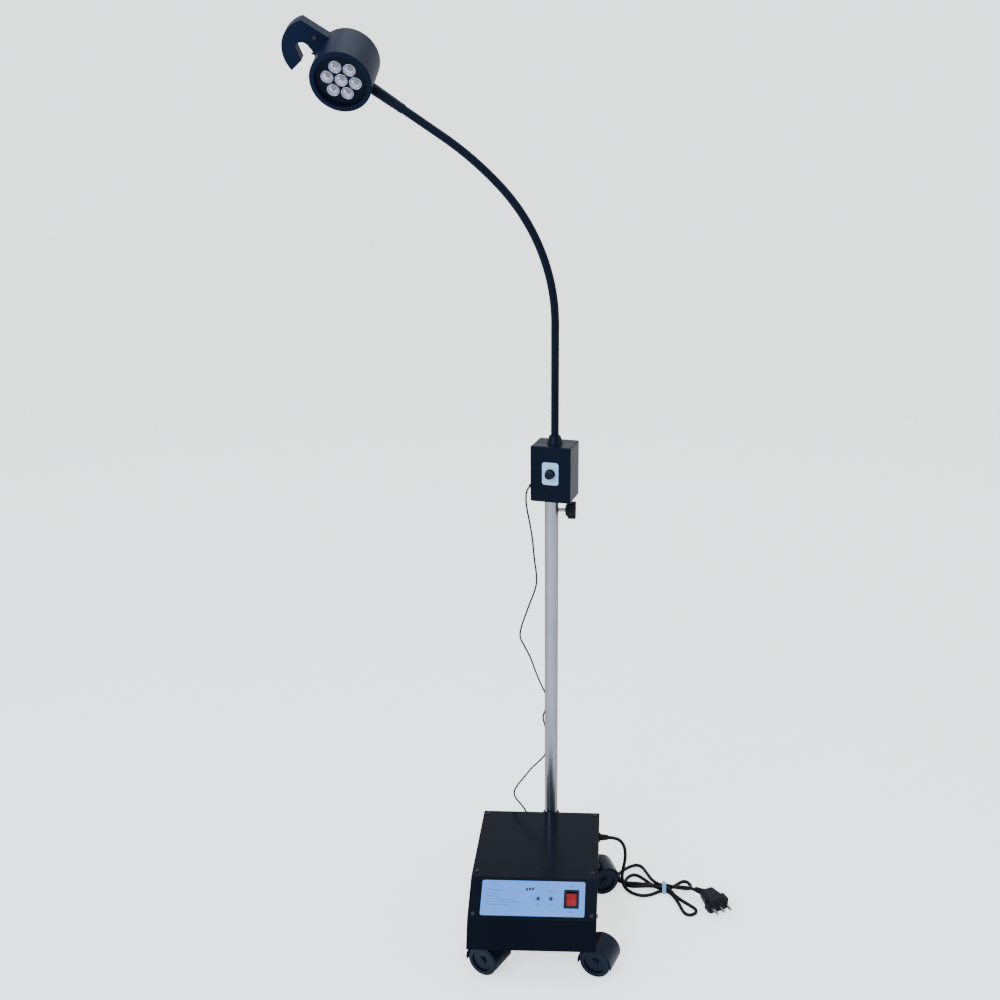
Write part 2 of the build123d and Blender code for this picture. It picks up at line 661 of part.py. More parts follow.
def driver_board():
    """Lamp driver board standing behind the dimmer."""
    board = slab(BOX_WIDTH - 2 * BOX_WALL - 0.2, 1.6, 52, (0, 12, 37))
    board += slab(12, 7, 12, (-12, 16, 40))
    board += slab(9, 6, 9, (10, 15.5, 30))
    board += slab(16, 5, 7, (6, 15, 54))
    cut = slab(30, 40, 30, (-BOX_X + POLE_X, 0, 10))
    return BOX * (board - cut)


def box_gland():
    """Small relief on the box's side, its mouth turned down for the lamp lead."""
    across = Rot(0, -90, 0)
    body = across * (disc(LEAD_D / 2 + 1.9, BOX_WALL, -BOX_WALL) + disc(LEAD_D / 2 + 3, 2))
    body += across * disc(LEAD_D / 2 + 1.9, 4)
    body += Pos(-4, 0, 0) * Sphere(LEAD_D / 2 + 1.9)
    body += Pos(-4, 0, 0) * Rot(0, -135, 0) * disc(LEAD_D / 2 + 1.5, 9)
    body -= Pos(-4, 0, 0) * Rot(0, -135, 0) * disc(LEAD_D / 2 + SEAT, 3.1, 6)
    body += across * disc(LEAD_D / 2 + 3, 1.5, -BOX_WALL - 1.5)
    return LEAD_PORT * body


# ---------------------------------------------------------------- gooseneck
NECK_BASE = (BOX_X, POLE_Y, BOX_TOP_Z)


def neck_point(station):
    """Point and running angle of the arm's centre line, at a length along it from the box."""
    s, x, z = station, 0.0, 0.0
    if s <= NECK_STRAIGHT:
        return x, s, 0.0
    s -= NECK_STRAIGHT
    z = NECK_STRAIGHT
    arc1 = NECK_R1 * math.radians(NECK_TURN1)
    angle = min(s, arc1) / NECK_R1
    x -= NECK_R1 * (1 - math.cos(angle))
    z += NECK_R1 * math.sin(angle)
    if s <= arc1:
        return x, z, angle
    s -= arc1
    arc2 = NECK_R2 * math.radians(NECK_TURN2)
    turned = angle + min(s, arc2) / NECK_R2
    x -= NECK_R2 * (math.cos(angle) - math.cos(turned))
    z += NECK_R2 * (math.sin(turned) - math.sin(angle))
    s -= min(s, arc2)
    return x - s * math.sin(turned), z + s * math.cos(turned), turned


NECK_LENGTH = (
    NECK_STRAIGHT
    + NECK_R1 * math.radians(NECK_TURN1)
    + NECK_R2 * math.radians(NECK_TURN2)
    + NECK_LAST
)


def neck_place(station):
    """Location on the arm: Z along it, Y as the world's."""
    x, z, angle = neck_point(station)
    return Pos(NECK_BASE[0] + x, NECK_BASE[1], NECK_BASE[2] + z) * Rot(0, -math.degrees(angle), 0)


def neck_rod(first, last, radius):
    """Round rod along the arm's centre line, in straight and arc runs."""
    breaks = [NECK_STRAIGHT, NECK_STRAIGHT + NECK_R1 * math.radians(NECK_TURN1)]
    breaks.append(NECK_LENGTH - NECK_LAST)
    stations = [first] + [b for b in breaks if first + 1 < b < last - 1] + [last]
    rod = None
    for a, b in zip(stations, stations[1:]):
        start, middle, end = (neck_place(s).position for s in (a, (a + b) / 2, b))
        bent = neck_point(b)[2] - neck_point(a)[2] > 1e-6
        line = ThreePointArc(start, middle, end) if bent else Line(start, end)
        plane = Plane(neck_place(a))
        run = sweep(plane * Circle(radius), path=line)
        rod = run if rod is None else rod + run
    return rod


BALL_R = NECK_D / 2
CUP_R = BALL_R + GAP
CUP_DROP = BALL_R * math.sin(math.radians(JOINT_LIMIT)) + GAP


def neck_link(index):
    """One stretch of the gooseneck, a ball at its lower end and a cup at its upper end."""
    first = -8.0 if index == 0 else JOINT_STATIONS[index - 1]
    body = neck_rod(first, JOINT_STATIONS[index], BALL_R)
    if index > 0:
        body += neck_place(first) * Sphere(BALL_R)
    else:
        body += neck_place(first) * disc(10, 8 - BOX_WALL - 2 * RUN)
    end = neck_place(JOINT_STATIONS[index])
    body -= end * disc(40, 60, -CUP_DROP)
    body -= end * Sphere(CUP_R)
    return body


def neck_collar():
    """Flared nut that holds the arm on the box."""
    body = Cone(13, 9, COLLAR_HEIGHT, align=(Align.CENTER, Align.CENTER, Align.MIN))
    body -= disc(NECK_D / 2 + RUN, COLLAR_HEIGHT + 2, -1)
    return neck_place(0) * body


HEAD_STATION = NECK_LENGTH
FERRULE_FROM = NECK_LENGTH - HEAD_D / 2 / math.cos(math.radians(14.8)) - FERRULE_LENGTH


def neck_ferrule():
    """Crimped sleeve that joins the gooseneck to the head."""
    stub = neck_rod(JOINT_STATIONS[-1], FERRULE_FROM + 5, BALL_R)
    body = stub + neck_place(JOINT_STATIONS[-1]) * Sphere(BALL_R)
    sleeve = Cone(
        FERRULE_D / 2 - 1.2, FERRULE_D / 2, FERRULE_LENGTH + 3,
        align=(Align.CENTER, Align.CENTER, Align.MIN),
    )
    body += neck_place(FERRULE_FROM) * sleeve
    return body - head_solid(HEAD_D / 2 + SEAT)


# ---------------------------------------------------------------- head
def head_plane():
    """The head's own frame: Z along the beam, X towards the arm."""
    centre = neck_place(HEAD_STATION).position
    arm = neck_place(HEAD_STATION).orientation
    drop = math.radians(HEAD_DROP)
    beam = Vector(0, -math.cos(drop), -math.sin(drop))
    angle = neck_point(HEAD_STATION)[2]
    back = Vector(math.sin(angle), 0, -math.cos(angle))
    across = back - beam * back.dot(beam)
    return Plane(origin=centre, x_dir=across, z_dir=beam)


HEAD = head_plane()
FRONT = HEAD_LENGTH / 2
INNER_R = HEAD_D / 2 - HEAD_WALL
TRAY_TOP = FRONT - FACE_RECESS


def head_solid(radius):
    """The barrel's outer form as a plain cylinder."""
    return HEAD * Cylinder(radius, HEAD_LENGTH)


def head_shell():
    """Barrel of the head, open at both ends, with a hole for the arm's wires."""
    body = tube(HEAD_D / 2, INNER_R, HEAD_LENGTH - 12, -FRONT + 6)
    body += tube(INNER_R + 0.2, INNER_R - 3, 3, TRAY_TOP - 8)
    body = HEAD * body
    body -= neck_place(HEAD_STATION - HEAD_D / 2 - 10) * disc(3.5, 24)
    for x, y in HOOK_SCREWS:
        body -= hook_screw_place(y) * disc(SCREW_HOLE_D / 2, 14, HEAD_D / 2 - 8)
    return body


def head_back():
    """Rear cap with cooling slots and a lip inside the barrel."""
    cap = disc(HEAD_D / 2, 6, -FRONT)
    cap = fillet(cap.edges().group_by(Axis.Z)[0], 3)
    cap += tube(INNER_R - SEAT, INNER_R - 3, 5, -FRONT + 5)
    cap -= disc(INNER_R - 6, 4, -FRONT + 3)
    for step in range(-3, 4):
        cap -= slab(46 - 3 * abs(step), 3, 20, (0, 8 * step, -FRONT))
    return HEAD * cap


def head_bezel():
    """Raised front rim that holds the lens tray."""
    rim = tube(HEAD_D / 2, HEAD_D / 2 - RIM_WIDTH, 6, FRONT - 6)
    rim = fillet(rim.edges().group_by(Axis.Z)[-1], 1.5)
    rim += tube(INNER_R - SEAT, HEAD_D / 2 - RIM_WIDTH, 6.0, TRAY_TOP)
    return HEAD * rim


def lens_places():
    """One lens in the middle and six round it."""
    turn = 17.0
    ring = [(LENS_PITCH, turn + 60 * step) for step in range(6)]
    return [(0.0, 0.0)] + ring


def lens_tray():
    """Dark plate with seven cups."""
    body = disc(INNER_R - SEAT, 5, TRAY_TOP - 5)
    for radius, turn in lens_places():
        body -= Rot(0, 0, turn) * Pos(radius, 0, TRAY_TOP - 6) * disc(LENS_D / 2 + SEAT, 12)
    return HEAD * body


def lenses():
    """Seven clear collimator lenses."""
    lens = Cone(4.5, LENS_D / 2, 8, align=(Align.CENTER, Align.CENTER, Align.MIN))
    lens += disc(LENS_D / 2, 2, 8)
    lens = Pos(0, 0, TRAY_TOP - 11) * lens
    return [HEAD * Rot(0, 0, turn) * Pos(radius, 0, 0) * lens for radius, turn in lens_places()]


def led_board():
    """Round metal-core board with seven emitters."""
    board = disc(INNER_R - 4, 1.6, TRAY_TOP - 14)
    for radius, turn in lens_places():
        board += Rot(0, 0, turn) * Pos(radius, 0, TRAY_TOP - 12.4) * disc(3.5, 1.2)
    return HEAD * board


def heat_sink():
    """Finned aluminium block behind the board."""
    body = disc(INNER_R - 2, 6, TRAY_TOP - 20)
    for step in range(-3, 4):
        width = 2 * math.sqrt((INNER_R - 3) ** 2 - (9 * step + 1.5) ** 2)
        body += slab(width, 2.5, 24, (0, 9 * step, TRAY_TOP - 20 - 12 + 0.5))
    return HEAD * (body - slab(30, 20, 40, (INNER_R - 8, 0, TRAY_TOP - 40)))


HOOK_Z = -FRONT + 8 + HOOK_THICKNESS / 2
HOOK_SCREWS = ((-44, 12), (-44, -3))
HOOK_BOLT = HEAD * Plane(origin=(-54, 14, HOOK_Z + HOOK_THICKNESS / 2)).location


def hook_screw_place(y):
    """A hook screw on the head's far side, pointing to the axis."""
    return Location(HEAD) * Pos(0, 0, HOOK_Z) * Rot(0, 0, math.degrees(math.asin(y / 44.0))) * Rot(0, -90, 0)


def hook():
    """Thick C-shaped hook that parks the head on the pole."""
    corner = (-80, 28)
    tip = (-66, -49)
    outline = [
        Line((-34, 24), corner),
        ThreePointArc(corner, (-94, -9), tip),
        Line(tip, (-59, -28)),
        Line((-59, -28), (-73, -14)),
        ThreePointArc((-73, -14), (-69, -3), (-57, -3)),
        ThreePointArc((-57, -3), (-47, -9), (-42, -22)),
        Line((-42, -22), (-34, -22)),
        Line((-34, -22), (-34, 24)),
    ]
    body = extrude(make_face(outline), HOOK_THICKNESS)
    body = fillet(body.edges().group_by(Axis.Z)[-1].filter_by(lambda e: e.center().X < -50), 1.2)
    body = Pos(0, 0, HOOK_Z - HOOK_THICKNESS / 2) * body
    body -= Cylinder(HEAD_D / 2 + SEAT, 200)
    body = HEAD * body
    for x, y in HOOK_SCREWS:
        body -= hook_screw_place(y) * disc(SCREW_HOLE_D / 2, 12, HEAD_D / 2 - 1)
    return body - screw_hole(HOOK_BOLT)


def hook_screws():
    """Two screws from inside the barrel into the hook, and one on the hook's face."""
    found = []
    for x, y in HOOK_SCREWS:
        seat = HEAD_D / 2 - HEAD_WALL - 0.3
        screw = disc(SCREW_D / 2, 11, seat) + disc(SCREW_HEAD_D / 2, SCREW_HEAD_H, seat - SCREW_HEAD_H)
        found.append(hook_screw_place(y) * screw)
    found.append(sheet_screw(HOOK_BOLT))
    return found


# ---------------------------------------------------------------- cords
TIE_AT = (214.0, 96.0)
TIE_WIDTH = 6.5
TIE_T = 1.2
WAIST_WIDTH = 20.0
HANK_HEIGHT = 13.0
LOBES = (
    # direction of the loop seen from the tie, its reach and its half width
    (150.0, 88.0, 44.0),
    (22.0, 52.0, 19.0),
    (-57.0, 84.0, 15.0),
)

MAINS_ROUTE = [
    (124, 98, 104), (136, 98.5, 99), (143.5, 99.5, 87), (146, 101, 70),
    (145, 104, 51), (142, 107, 33), (142, 107, HANK_HEIGHT),
]
LEAD_ROUTE = [
    (-25.5, 159.8, 707.2), (-27.5, 159.5, 693), (-26, 158.5, 675), (-21, 158, 650),
    (-16.5, 158, 621), (-14, 157.5, 588), (-9.5, 157, 556), (-11.5, 157, 537), (-19, 157, 517),
    (-28, 157, 491), (-36.5, 157, 466), (-39, 157.5, 448), (-31, 158, 432), (-21, 159, 411),
    (-13, 160, 385), (-4, 162, 360), (6, 163, 338), (6.5, 163, 316), (-1.5, 162.5, 298),
    (4, 163, 277), (11, 163, 252), (6, 163, 227), (-6, 161, 212), (-19, 159, 201),
    (-31, 158, 184), (-44, 157, 167), (-51, 156, 154), (-49, 155.5, 142), (-40, 155, 131),
    (-30, 154.5, 117), (-25.5, 153.5, 104.5), (-24, 149.5, 95), (-24, 142.5, 90),
]


def cord_tube(name, route, diameter):
    """Round tube on straight runs joined by arcs, each as large as its two runs allow."""
    points = [Vector(*p) for p in route]
    radii = []
    for before, corner, after in zip(points, points[1:], points[2:]):
        turn = math.radians((corner - before).get_angle(after - corner))
        run = min((corner - before).length, (after - corner).length)
        radii.append(0.45 * run / math.tan(turn / 2))
    path = FilletPolyline(*points, radius=radii)
    start = Plane(origin=path @ 0, z_dir=path % 0)
    body = sweep(start * Circle(diameter / 2), path=path)
    expected = math.pi * diameter**2 / 4 * path.length
    print(name, "length", round(path.length), "radii", [round(r) for r in radii])
    print(name, "volume ratio", round(body.volume / expected, 4))
    return body


def hank_lobe(direction, reach, half_width):
    """Outer shape of the loops on one side of the tie."""
    ellipse = Pos(reach / 2, 0) * Ellipse(reach / 2, half_width)
    return Pos(*TIE_AT) * Rot(0, 0, direction) * ellipse


def tie_band(grow, width=TIE_WIDTH):
    """Block round the hank's waist, larger than the waist by grow."""
    height = HANK_HEIGHT - TIE_T
    block = Rectangle(WAIST_WIDTH + 2 * grow, height + 2 * grow)
    block = fillet(block.vertices(), 4 + grow)
    place = Plane(origin=(*TIE_AT, TIE_T + height / 2), x_dir=(0, 1, 0), z_dir=(1, 0, 0))
    return extrude(place * block, width / 2, both=True)


def cord_hank():
    """Closed outer shape of the folded mains cord, drawn in at the tie."""
    outline = Pos(*TIE_AT) * Rectangle(30, WAIST_WIDTH)
    for lobe in LOBES:
        outline += hank_lobe(*lobe)
    body = extrude(outline, HANK_HEIGHT)
    gap = slab(TIE_WIDTH + 0.2, 200, 60, (*TIE_AT, 0)) - tie_band(0, 2 * TIE_WIDTH)
    return body - gap


def cord_tie():
    """Band round the hank's waist."""
    return tie_band(TIE_T) - tie_band(SEAT, 2 * TIE_WIDTH)


PLUG_TURN = 27.0
PLUG_FRONT = (304.0, 42.0)
PLUG_MID_Z = 14.0
PLUG_WIDTH = 40.0
PLUG_DEPTH = 38.0
PLUG_THICKNESS = 26.0
PLUG_NECK_LENGTH = 22.0
PLUG_NECK_TURN = 32.0
PIN_D = 5.0
PIN_PITCH = 13.0
PIN_LENGTH = 19.0
# the plug's frame: Z out of its face, X across its face, on its side on the floor
PLUG = Pos(*PLUG_FRONT, PLUG_MID_Z) * Rot(0, 0, PLUG_TURN) * Rot(90, 0, 0)
PLUG_NECK = PLUG * Pos(-2, 0, 2 - PLUG_DEPTH) * Rot(0, 180 + PLUG_NECK_TURN, 0)


def plug_body():
    """Moulded plug: a broad face, a waisted grip and a ribbed neck."""
    face = extrude(fillet(Rectangle(PLUG_WIDTH, PLUG_THICKNESS).vertices(), 8), -12)
    face = fillet(face.edges().group_by(Axis.Z)[-1], 1.5)
    front = Pos(0, 0, -11.5) * fillet(Rectangle(PLUG_WIDTH - 5, PLUG_THICKNESS - 5).vertices(), 7)
    rear = Pos(0, 0, -PLUG_DEPTH) * fillet(Rectangle(PLUG_WIDTH - 13, PLUG_THICKNESS - 8).vertices(), 7)
    grip = loft([front, rear])
    body = PLUG * (face + grip)
    neck = Cone(7, MAINS_D / 2 + 1.4, PLUG_NECK_LENGTH, align=(Align.CENTER, Align.CENTER, Align.MIN))
    for step in range(4):
        neck -= tube(9, 5.4 - 0.45 * step, 1.4, 7 + 3.4 * step)
    body += PLUG_NECK * neck
    body -= PLUG_NECK * disc(MAINS_D / 2 + SEAT, 5, PLUG_NECK_LENGTH - 4)
    for x in (-PIN_PITCH, 0, PIN_PITCH):
        body -= PLUG * Pos(x, 0, 0) * disc(PIN_D / 2, 20, -10)
    return body


def plug_pins():
    """Three round pins in a row, with rounded ends."""
    pin = disc(PIN_D / 2, PIN_LENGTH + 10, -10)
    pin = fillet(pin.edges().group_by(Axis.Z)[-1], 1.5)
    return [PLUG * Pos(x, 0, 0) * pin for x in (-PIN_PITCH, 0, PIN_PITCH)]


def mains_cord():
    """The cord from the cabinet down to the hank, and from the hank to the plug."""
    short_run = PLUG_NECK * disc(MAINS_D / 2, 40, PLUG_NECK_LENGTH - 4)
    start = (HALF + RELIEF_LENGTH - CORD_IN_BORE, MAINS_EXIT.origin.Y, MAINS_EXIT.origin.Z)
    return cord_tube("mains_cord", [start, *MAINS_ROUTE], MAINS_D), short_run - cord_hank()


def lamp_lead():
    """Thin lead from the control box, hanging beside the pole, to the cabinet's rear."""
    start = (LEAD_PORT * Pos(-4, 0, 0) * Rot(0, -135, 0) * Pos(0, 0, 6)).position
    end = (LEAD_EXIT.origin.X, REAR_Y + LEAD_RELIEF - CORD_IN_BORE, LEAD_EXIT.origin.Z)
    return cord_tube("lamp_lead", [tuple(start), *LEAD_ROUTE, end], LEAD_D)


PARTS_DIR = "parts"
os.makedirs(PARTS_DIR, exist_ok=True)

keep("cover_sheet", cover_sheet())
keep("side_panel_left", side_panel(-1))
keep("side_panel_right", side_panel(1))
keep("rear_panel", rear_panel())
keep("base_tray", base_tray())
keep("panel_label", panel_label())
keep("switch_bezel", switch_bezel())
keep("switch_rocker", switch_rocker())
keep("indicator_lights", *indicator_lights())
keep("base_screws", *[sheet_screw(p) for p in COVER_SCREWS + TRAY_SCREWS + BRACKET_BOLTS])
keep("battery", battery())
keep("power_board", power_board())
keep("pole_bracket", pole_bracket())
keep("base_glands", *base_glands())
keep("caster_sockets", *caster_sockets())
for name in CASTERS:
    keep("caster_yoke_" + name, caster_place(name) * caster_yoke())
    keep("caster_wheels_" + name, *[caster_place(name) * w for w in caster_wheels()])
keep("pole", pole())
keep("pole_bush", pole_bush())
keep("mast_tube", mast_tube())
keep("clamp_pad", clamp_pad())
keep("clamp_knob", clamp_knob())
keep("box_shell", box_shell())
keep("box_lid", box_lid())
keep("lid_screws", *lid_screws())
keep("mast_socket", mast_socket())
keep("dial_plate", dial_plate())
keep("dimmer_pot", dimmer_pot())
keep("dimmer_knob", dimmer_knob())
keep("driver_board", driver_board())
keep("box_gland", box_gland())
keep("neck_collar", neck_collar())
for index in range(len(JOINT_STATIONS)):
    keep(f"neck_link_{index + 1}", neck_link(index))
keep("neck_ferrule", neck_ferrule())
keep("head_shell", head_shell())
keep("head_back", head_back())
keep("head_bezel", head_bezel())
keep("lens_tray", lens_tray())
keep("lenses", *lenses())
keep("led_board", led_board())
keep("heat_sink", heat_sink())
keep("hook", hook())
keep("hook_screws", *hook_screws())
keep("cord_hank", cord_hank())
keep("cord_tie", cord_tie())
keep("plug_body", plug_body())
keep("plug_pins", *plug_pins())
keep("mains_cord", *mains_cord())
keep("lamp_lead", lamp_lead())

for name, solids in pieces.items():
    export_step(Compound(children=solids) if len(solids) > 1 else solids[0], f"{PARTS_DIR}/{name}.step")
print(len(pieces), "nodes")
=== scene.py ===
# %% [markdown]
# # A mobile examination lamp
# The lamp is a black sheet-metal cabinet on twin-wheel casters, an aluminium pole, a small
# dimmer box, a gooseneck and a round head with seven lenses. The rigid pieces come from the
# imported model. This notebook adds the soft ones, the ribbed arm and every finish.

# %% The frame
import math
import bpy
import numpy as np
from mathutils import Matrix, Vector


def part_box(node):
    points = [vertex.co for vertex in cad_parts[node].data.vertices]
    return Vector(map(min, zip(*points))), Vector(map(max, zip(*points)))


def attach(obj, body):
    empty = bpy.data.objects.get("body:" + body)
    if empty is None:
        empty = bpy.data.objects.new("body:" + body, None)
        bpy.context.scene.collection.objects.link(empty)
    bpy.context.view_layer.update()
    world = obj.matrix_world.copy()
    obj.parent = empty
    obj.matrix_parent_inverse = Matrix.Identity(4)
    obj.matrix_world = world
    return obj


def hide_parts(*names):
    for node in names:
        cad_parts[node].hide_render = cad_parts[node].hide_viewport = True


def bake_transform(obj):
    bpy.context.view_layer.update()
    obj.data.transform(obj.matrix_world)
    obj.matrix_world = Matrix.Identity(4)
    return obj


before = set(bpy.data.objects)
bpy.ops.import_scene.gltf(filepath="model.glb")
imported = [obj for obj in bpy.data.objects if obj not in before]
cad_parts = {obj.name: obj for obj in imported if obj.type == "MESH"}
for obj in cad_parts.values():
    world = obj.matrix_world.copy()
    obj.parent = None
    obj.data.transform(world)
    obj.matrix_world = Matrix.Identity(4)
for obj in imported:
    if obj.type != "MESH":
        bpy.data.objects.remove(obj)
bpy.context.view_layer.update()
MM = 0.001

# %% [markdown]
# ## Camera
# The lamp is seen from chest height, a little to its right and looking down. The camera is
# given as a place and three angles, and its axes are worked out from them: yaw turns it about
# the vertical, pitch tips it down, and roll turns it about its own line of sight. A small
# sideways shift frames the tall, leaning outline without turning the lens. An object could
# also be aimed with a Track To constraint, but three plain angles are easier to read and keep.

# %% Camera
CAMERA_AT = Vector((0.1155, -1.5961, 1.2568))
YAW, PITCH, ROLL = math.radians(0.769), math.radians(17.865), math.radians(-0.872)
SENSOR_WIDTH = 36.0
FOCAL_RATIO = 1.148      # focal length as a share of the sensor's width
SIDE_SHIFT = -0.10


def camera_axes(yaw, pitch, roll):
    """Right, up and backward axes of a camera that looks along +Y when every angle is 0."""
    level_run = math.cos(pitch)
    forward = Vector((-math.sin(yaw) * level_run, math.cos(yaw) * level_run, -math.sin(pitch)))
    level = Vector((math.cos(yaw), math.sin(yaw), 0.0))
    down = forward.cross(level)
    right = level * math.cos(roll) + down * math.sin(roll)
    up = level * math.sin(roll) - down * math.cos(roll)
    return right, up, -forward


camera = bpy.data.objects.new("camera", bpy.data.cameras.new("camera"))
bpy.context.collection.objects.link(camera)
turned = Matrix(camera_axes(YAW, PITCH, ROLL)).transposed()
camera.matrix_world = Matrix.Translation(CAMERA_AT) @ turned.to_4x4()
camera.data.lens = SENSOR_WIDTH * FOCAL_RATIO
camera.data.shift_x = SIDE_SHIFT
camera.data.clip_start = 0.05
bpy.context.scene.camera = camera
print("camera at", [round(v, 3) for v in CAMERA_AT])

# %% [markdown]
# ## Grids of points
# Almost every new piece is a grid: one parameter runs along it and one round it. A single
# helper turns such a grid of points into quads, joins the last column to the first where the
# surface is closed, and caps its ends where they are open.

# %% Surface from a grid


def surface(name, points, closed=True, caps=False):
    """Mesh object from a grid (rows, columns, 3): neighbouring points make quads."""
    rows, cols = points.shape[:2]
    index = np.arange(rows * cols).reshape(rows, cols)
    across = np.roll(index, -1, axis=1) if closed else index[:, 1:]
    here = index if closed else index[:, :-1]
    quads = np.stack([here[:-1], across[:-1], across[1:], here[1:]], axis=-1).reshape(-1, 4)
    faces = [tuple(q) for q in quads.tolist()]
    if caps:
        faces.append(tuple(index[0][::-1].tolist()))
        faces.append(tuple(index[-1].tolist()))
    mesh = bpy.data.meshes.new(name)
    mesh.from_pydata(points.reshape(-1, 3).tolist(), [], faces)
    mesh.polygons.foreach_set("use_smooth", [True] * len(mesh.polygons))
    mesh.update()
    made = bpy.data.objects.new(name, mesh)
    bpy.context.collection.objects.link(made)
    return made


def carried(path):
    """Tangent, side and lift at each point of a path.

    The tangent is the slope of the path. Each side is the one before it, less its part along
    the new tangent, so it turns as little as it can. The lift is square to both.
    """
    tangent = np.gradient(path, axis=0)
    tangent /= np.linalg.norm(tangent, axis=1, keepdims=True)
    side = np.zeros_like(path)
    first = np.cross(tangent[0], [0.0, 1.0, 0.0])
    if np.linalg.norm(first) < 0.1:
        first = np.cross(tangent[0], [1.0, 0.0, 0.0])
    side[0] = first / np.linalg.norm(first)
    for i in range(1, len(path)):
        flat = side[i - 1] - tangent[i] * np.dot(side[i - 1], tangent[i])
        side[i] = flat / np.linalg.norm(flat)
    return tangent, side, np.cross(tangent, side)


def tube(name, path, radius, around=20, caps=True):
    """Round tube: each point is the path plus radius times (cos a side + sin a lift).

    The radius is one number, or an array of a row for each path point and a column for each a.
    """
    tangent, side, lift = carried(path)
    angle = np.linspace(0, 2 * math.pi, around, endpoint=False)
    radius = np.broadcast_to(radius, (len(path), around))[..., None]
    ring = np.cos(angle)[None, :, None] * side[:, None] + np.sin(angle)[None, :, None] * lift[:, None]
    return surface(name, path[:, None] + radius * ring, caps=caps)


# %% [markdown]
# ## Mains lead
# The mains lead drops from its strain relief to the floor, is folded to and fro through one
# tie, and ends in a moulded plug. Its line is one smooth spline. The free stretch uses the
# points of its real route, and each fold is a teardrop worked out by a formula: out and back
# along a direction by a sine, and to one side and then the other by a sine of twice the rate.
# A pinch draws the fold together near the tie and leaves its far end round. A curve with a
# bevel would also give a round lead, but a swept mesh gives the exact size to measure.

# %% Points of the mains lead
LEAD_D = 6.0
FLOOR_Z = 3.2            # height of the lead's middle where it lies on the floor
LOW_Z, HIGH_Z = 4.4, 9.7   # the two layers of strands in the tie
TIE = np.array([214.0, 96.0])
TIE_REACH = 7.0          # half the straight run of a strand in the tie
FOLD_START = 5.0         # where a fold's formula starts, from the middle of the tie
FREE_STRETCH = [
    (113, 98, 104), (124, 98, 104), (136, 98.5, 99), (143.5, 99.5, 87), (146, 101, 70),
    (145, 104, 51), (142, 107, 33), (141, 107, 17), (143.5, 101, 6.5), (151, 91, FLOOR_Z),
    (163, 81, FLOOR_Z), (179, 76.5, FLOOR_Z), (195, 82, 3.4),
]
TO_PLUG = [(238, 99, 6.5), (252, 92.5, 11)]
INTO_NECK = np.array([-8.5, 5.1, 0.0])   # from the neck's end to the point before it


def strand(side, dy, z):
    """Two points of a strand where it passes through the tie, heading to the given side."""
    y = TIE[1] + dy
    return [(TIE[0] - side * TIE_REACH, y, z), (TIE[0] + side * TIE_REACH, y, z)]


def fold(side, direction, reach, first_width, last_width, heights, pinch=1, count=11):
    """Fold out of the tie on a side (1 or -1) and back, for t from 0 to 1.

    Along its direction it runs reach times sin(pi t). Across that it runs width times
    sin(2 pi t) times sin(pi t) to the power of pinch, with one width for each half. Its
    heights are spread evenly over t.
    """
    t = np.linspace(0, 1, count + 2)[1:-1]
    out = np.sin(math.pi * t)
    along = reach * out
    across = np.where(t < 0.5, first_width, last_width) * np.sin(2 * math.pi * t) * out ** pinch
    a = math.radians(direction)
    x = TIE[0] + side * FOLD_START + along * math.cos(a) - across * math.sin(a)
    y = TIE[1] + along * math.sin(a) + across * math.cos(a)
    z = np.interp(t, np.linspace(0, 1, len(heights)), heights)
    return [tuple(p) for p in np.column_stack([x, y, z]).tolist()]


def mains_points():
    """The whole lead, from the strain relief to the plug, in millimetres."""
    points = list(FREE_STRETCH)
    points += strand(1, -6.2, LOW_Z)
    points += fold(1, -57, 78, -17, -18, (4, FLOOR_Z, FLOOR_Z, FLOOR_Z, 6), pinch=2)
    points += strand(-1, -3.1, HIGH_Z)
    points += fold(-1, 156, 66, 22, 24, (8, 4, FLOOR_Z, FLOOR_Z, 4))
    points += strand(1, 0, LOW_Z)
    points += fold(1, 20, 44, 16, 15, (4, FLOOR_Z, FLOOR_Z, 5, 8))
    points += strand(-1, 3.1, HIGH_Z)
    points += fold(-1, 147, 82, -46, -40, (10, 6, FLOOR_Z, 8.5, 9.5, 5))
    points += strand(1, 6.2, LOW_Z)
    neck_end = plug_neck_end()
    return points + TO_PLUG + [tuple(neck_end + INTO_NECK), tuple(neck_end)]


def plug_neck_end():
    """Where the lead enters the plug's neck, taken from the corner of the plug's box."""
    low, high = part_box("plug_body")
    return np.array([low.x / MM + 7.5, high.y / MM - 8.5, 14.0])


print("tie at", TIE, "plug neck", plug_neck_end().round(1))

# %% [markdown]
# ## A smooth line from a few points
# A NURBS spline of order 3 is a chain of smooth curves that its control points pull on. Its
# ends are fixed on the first and last point. Blender works out the line, and its points are
# read back from a copy of the curve with no thickness, which is then removed.

# %% Spline of a route


def nurbs(name, points):
    """One open NURBS curve with these control points, given in millimetres."""
    data = bpy.data.curves.new(name, "CURVE")
    data.dimensions = "3D"
    spline = data.splines.new("NURBS")
    spline.points.add(len(points) - 1)
    flat = np.ones((len(points), 4))
    flat[:, :3] = np.array(points, float) * MM
    spline.points.foreach_set("co", flat.ravel())
    spline.order_u = 3
    spline.use_endpoint_u = True
    spline.resolution_u = 12
    made = bpy.data.objects.new(name, data)
    bpy.context.collection.objects.link(made)
    return made


def line_of(points):
    """Points along the smooth line of a route, read from its spline with no thickness."""
    guide = nurbs("guide", points)
    mesh = bpy.data.meshes.new_from_object(guide)
    line = np.empty(len(mesh.vertices) * 3)
    mesh.vertices.foreach_get("co", line)
    bpy.data.objects.remove(guide)
    return line.reshape(-1, 3)


def length_of(line):
    """Length of a line of points."""
    return float(np.linalg.norm(np.diff(line, axis=0), axis=1).sum())


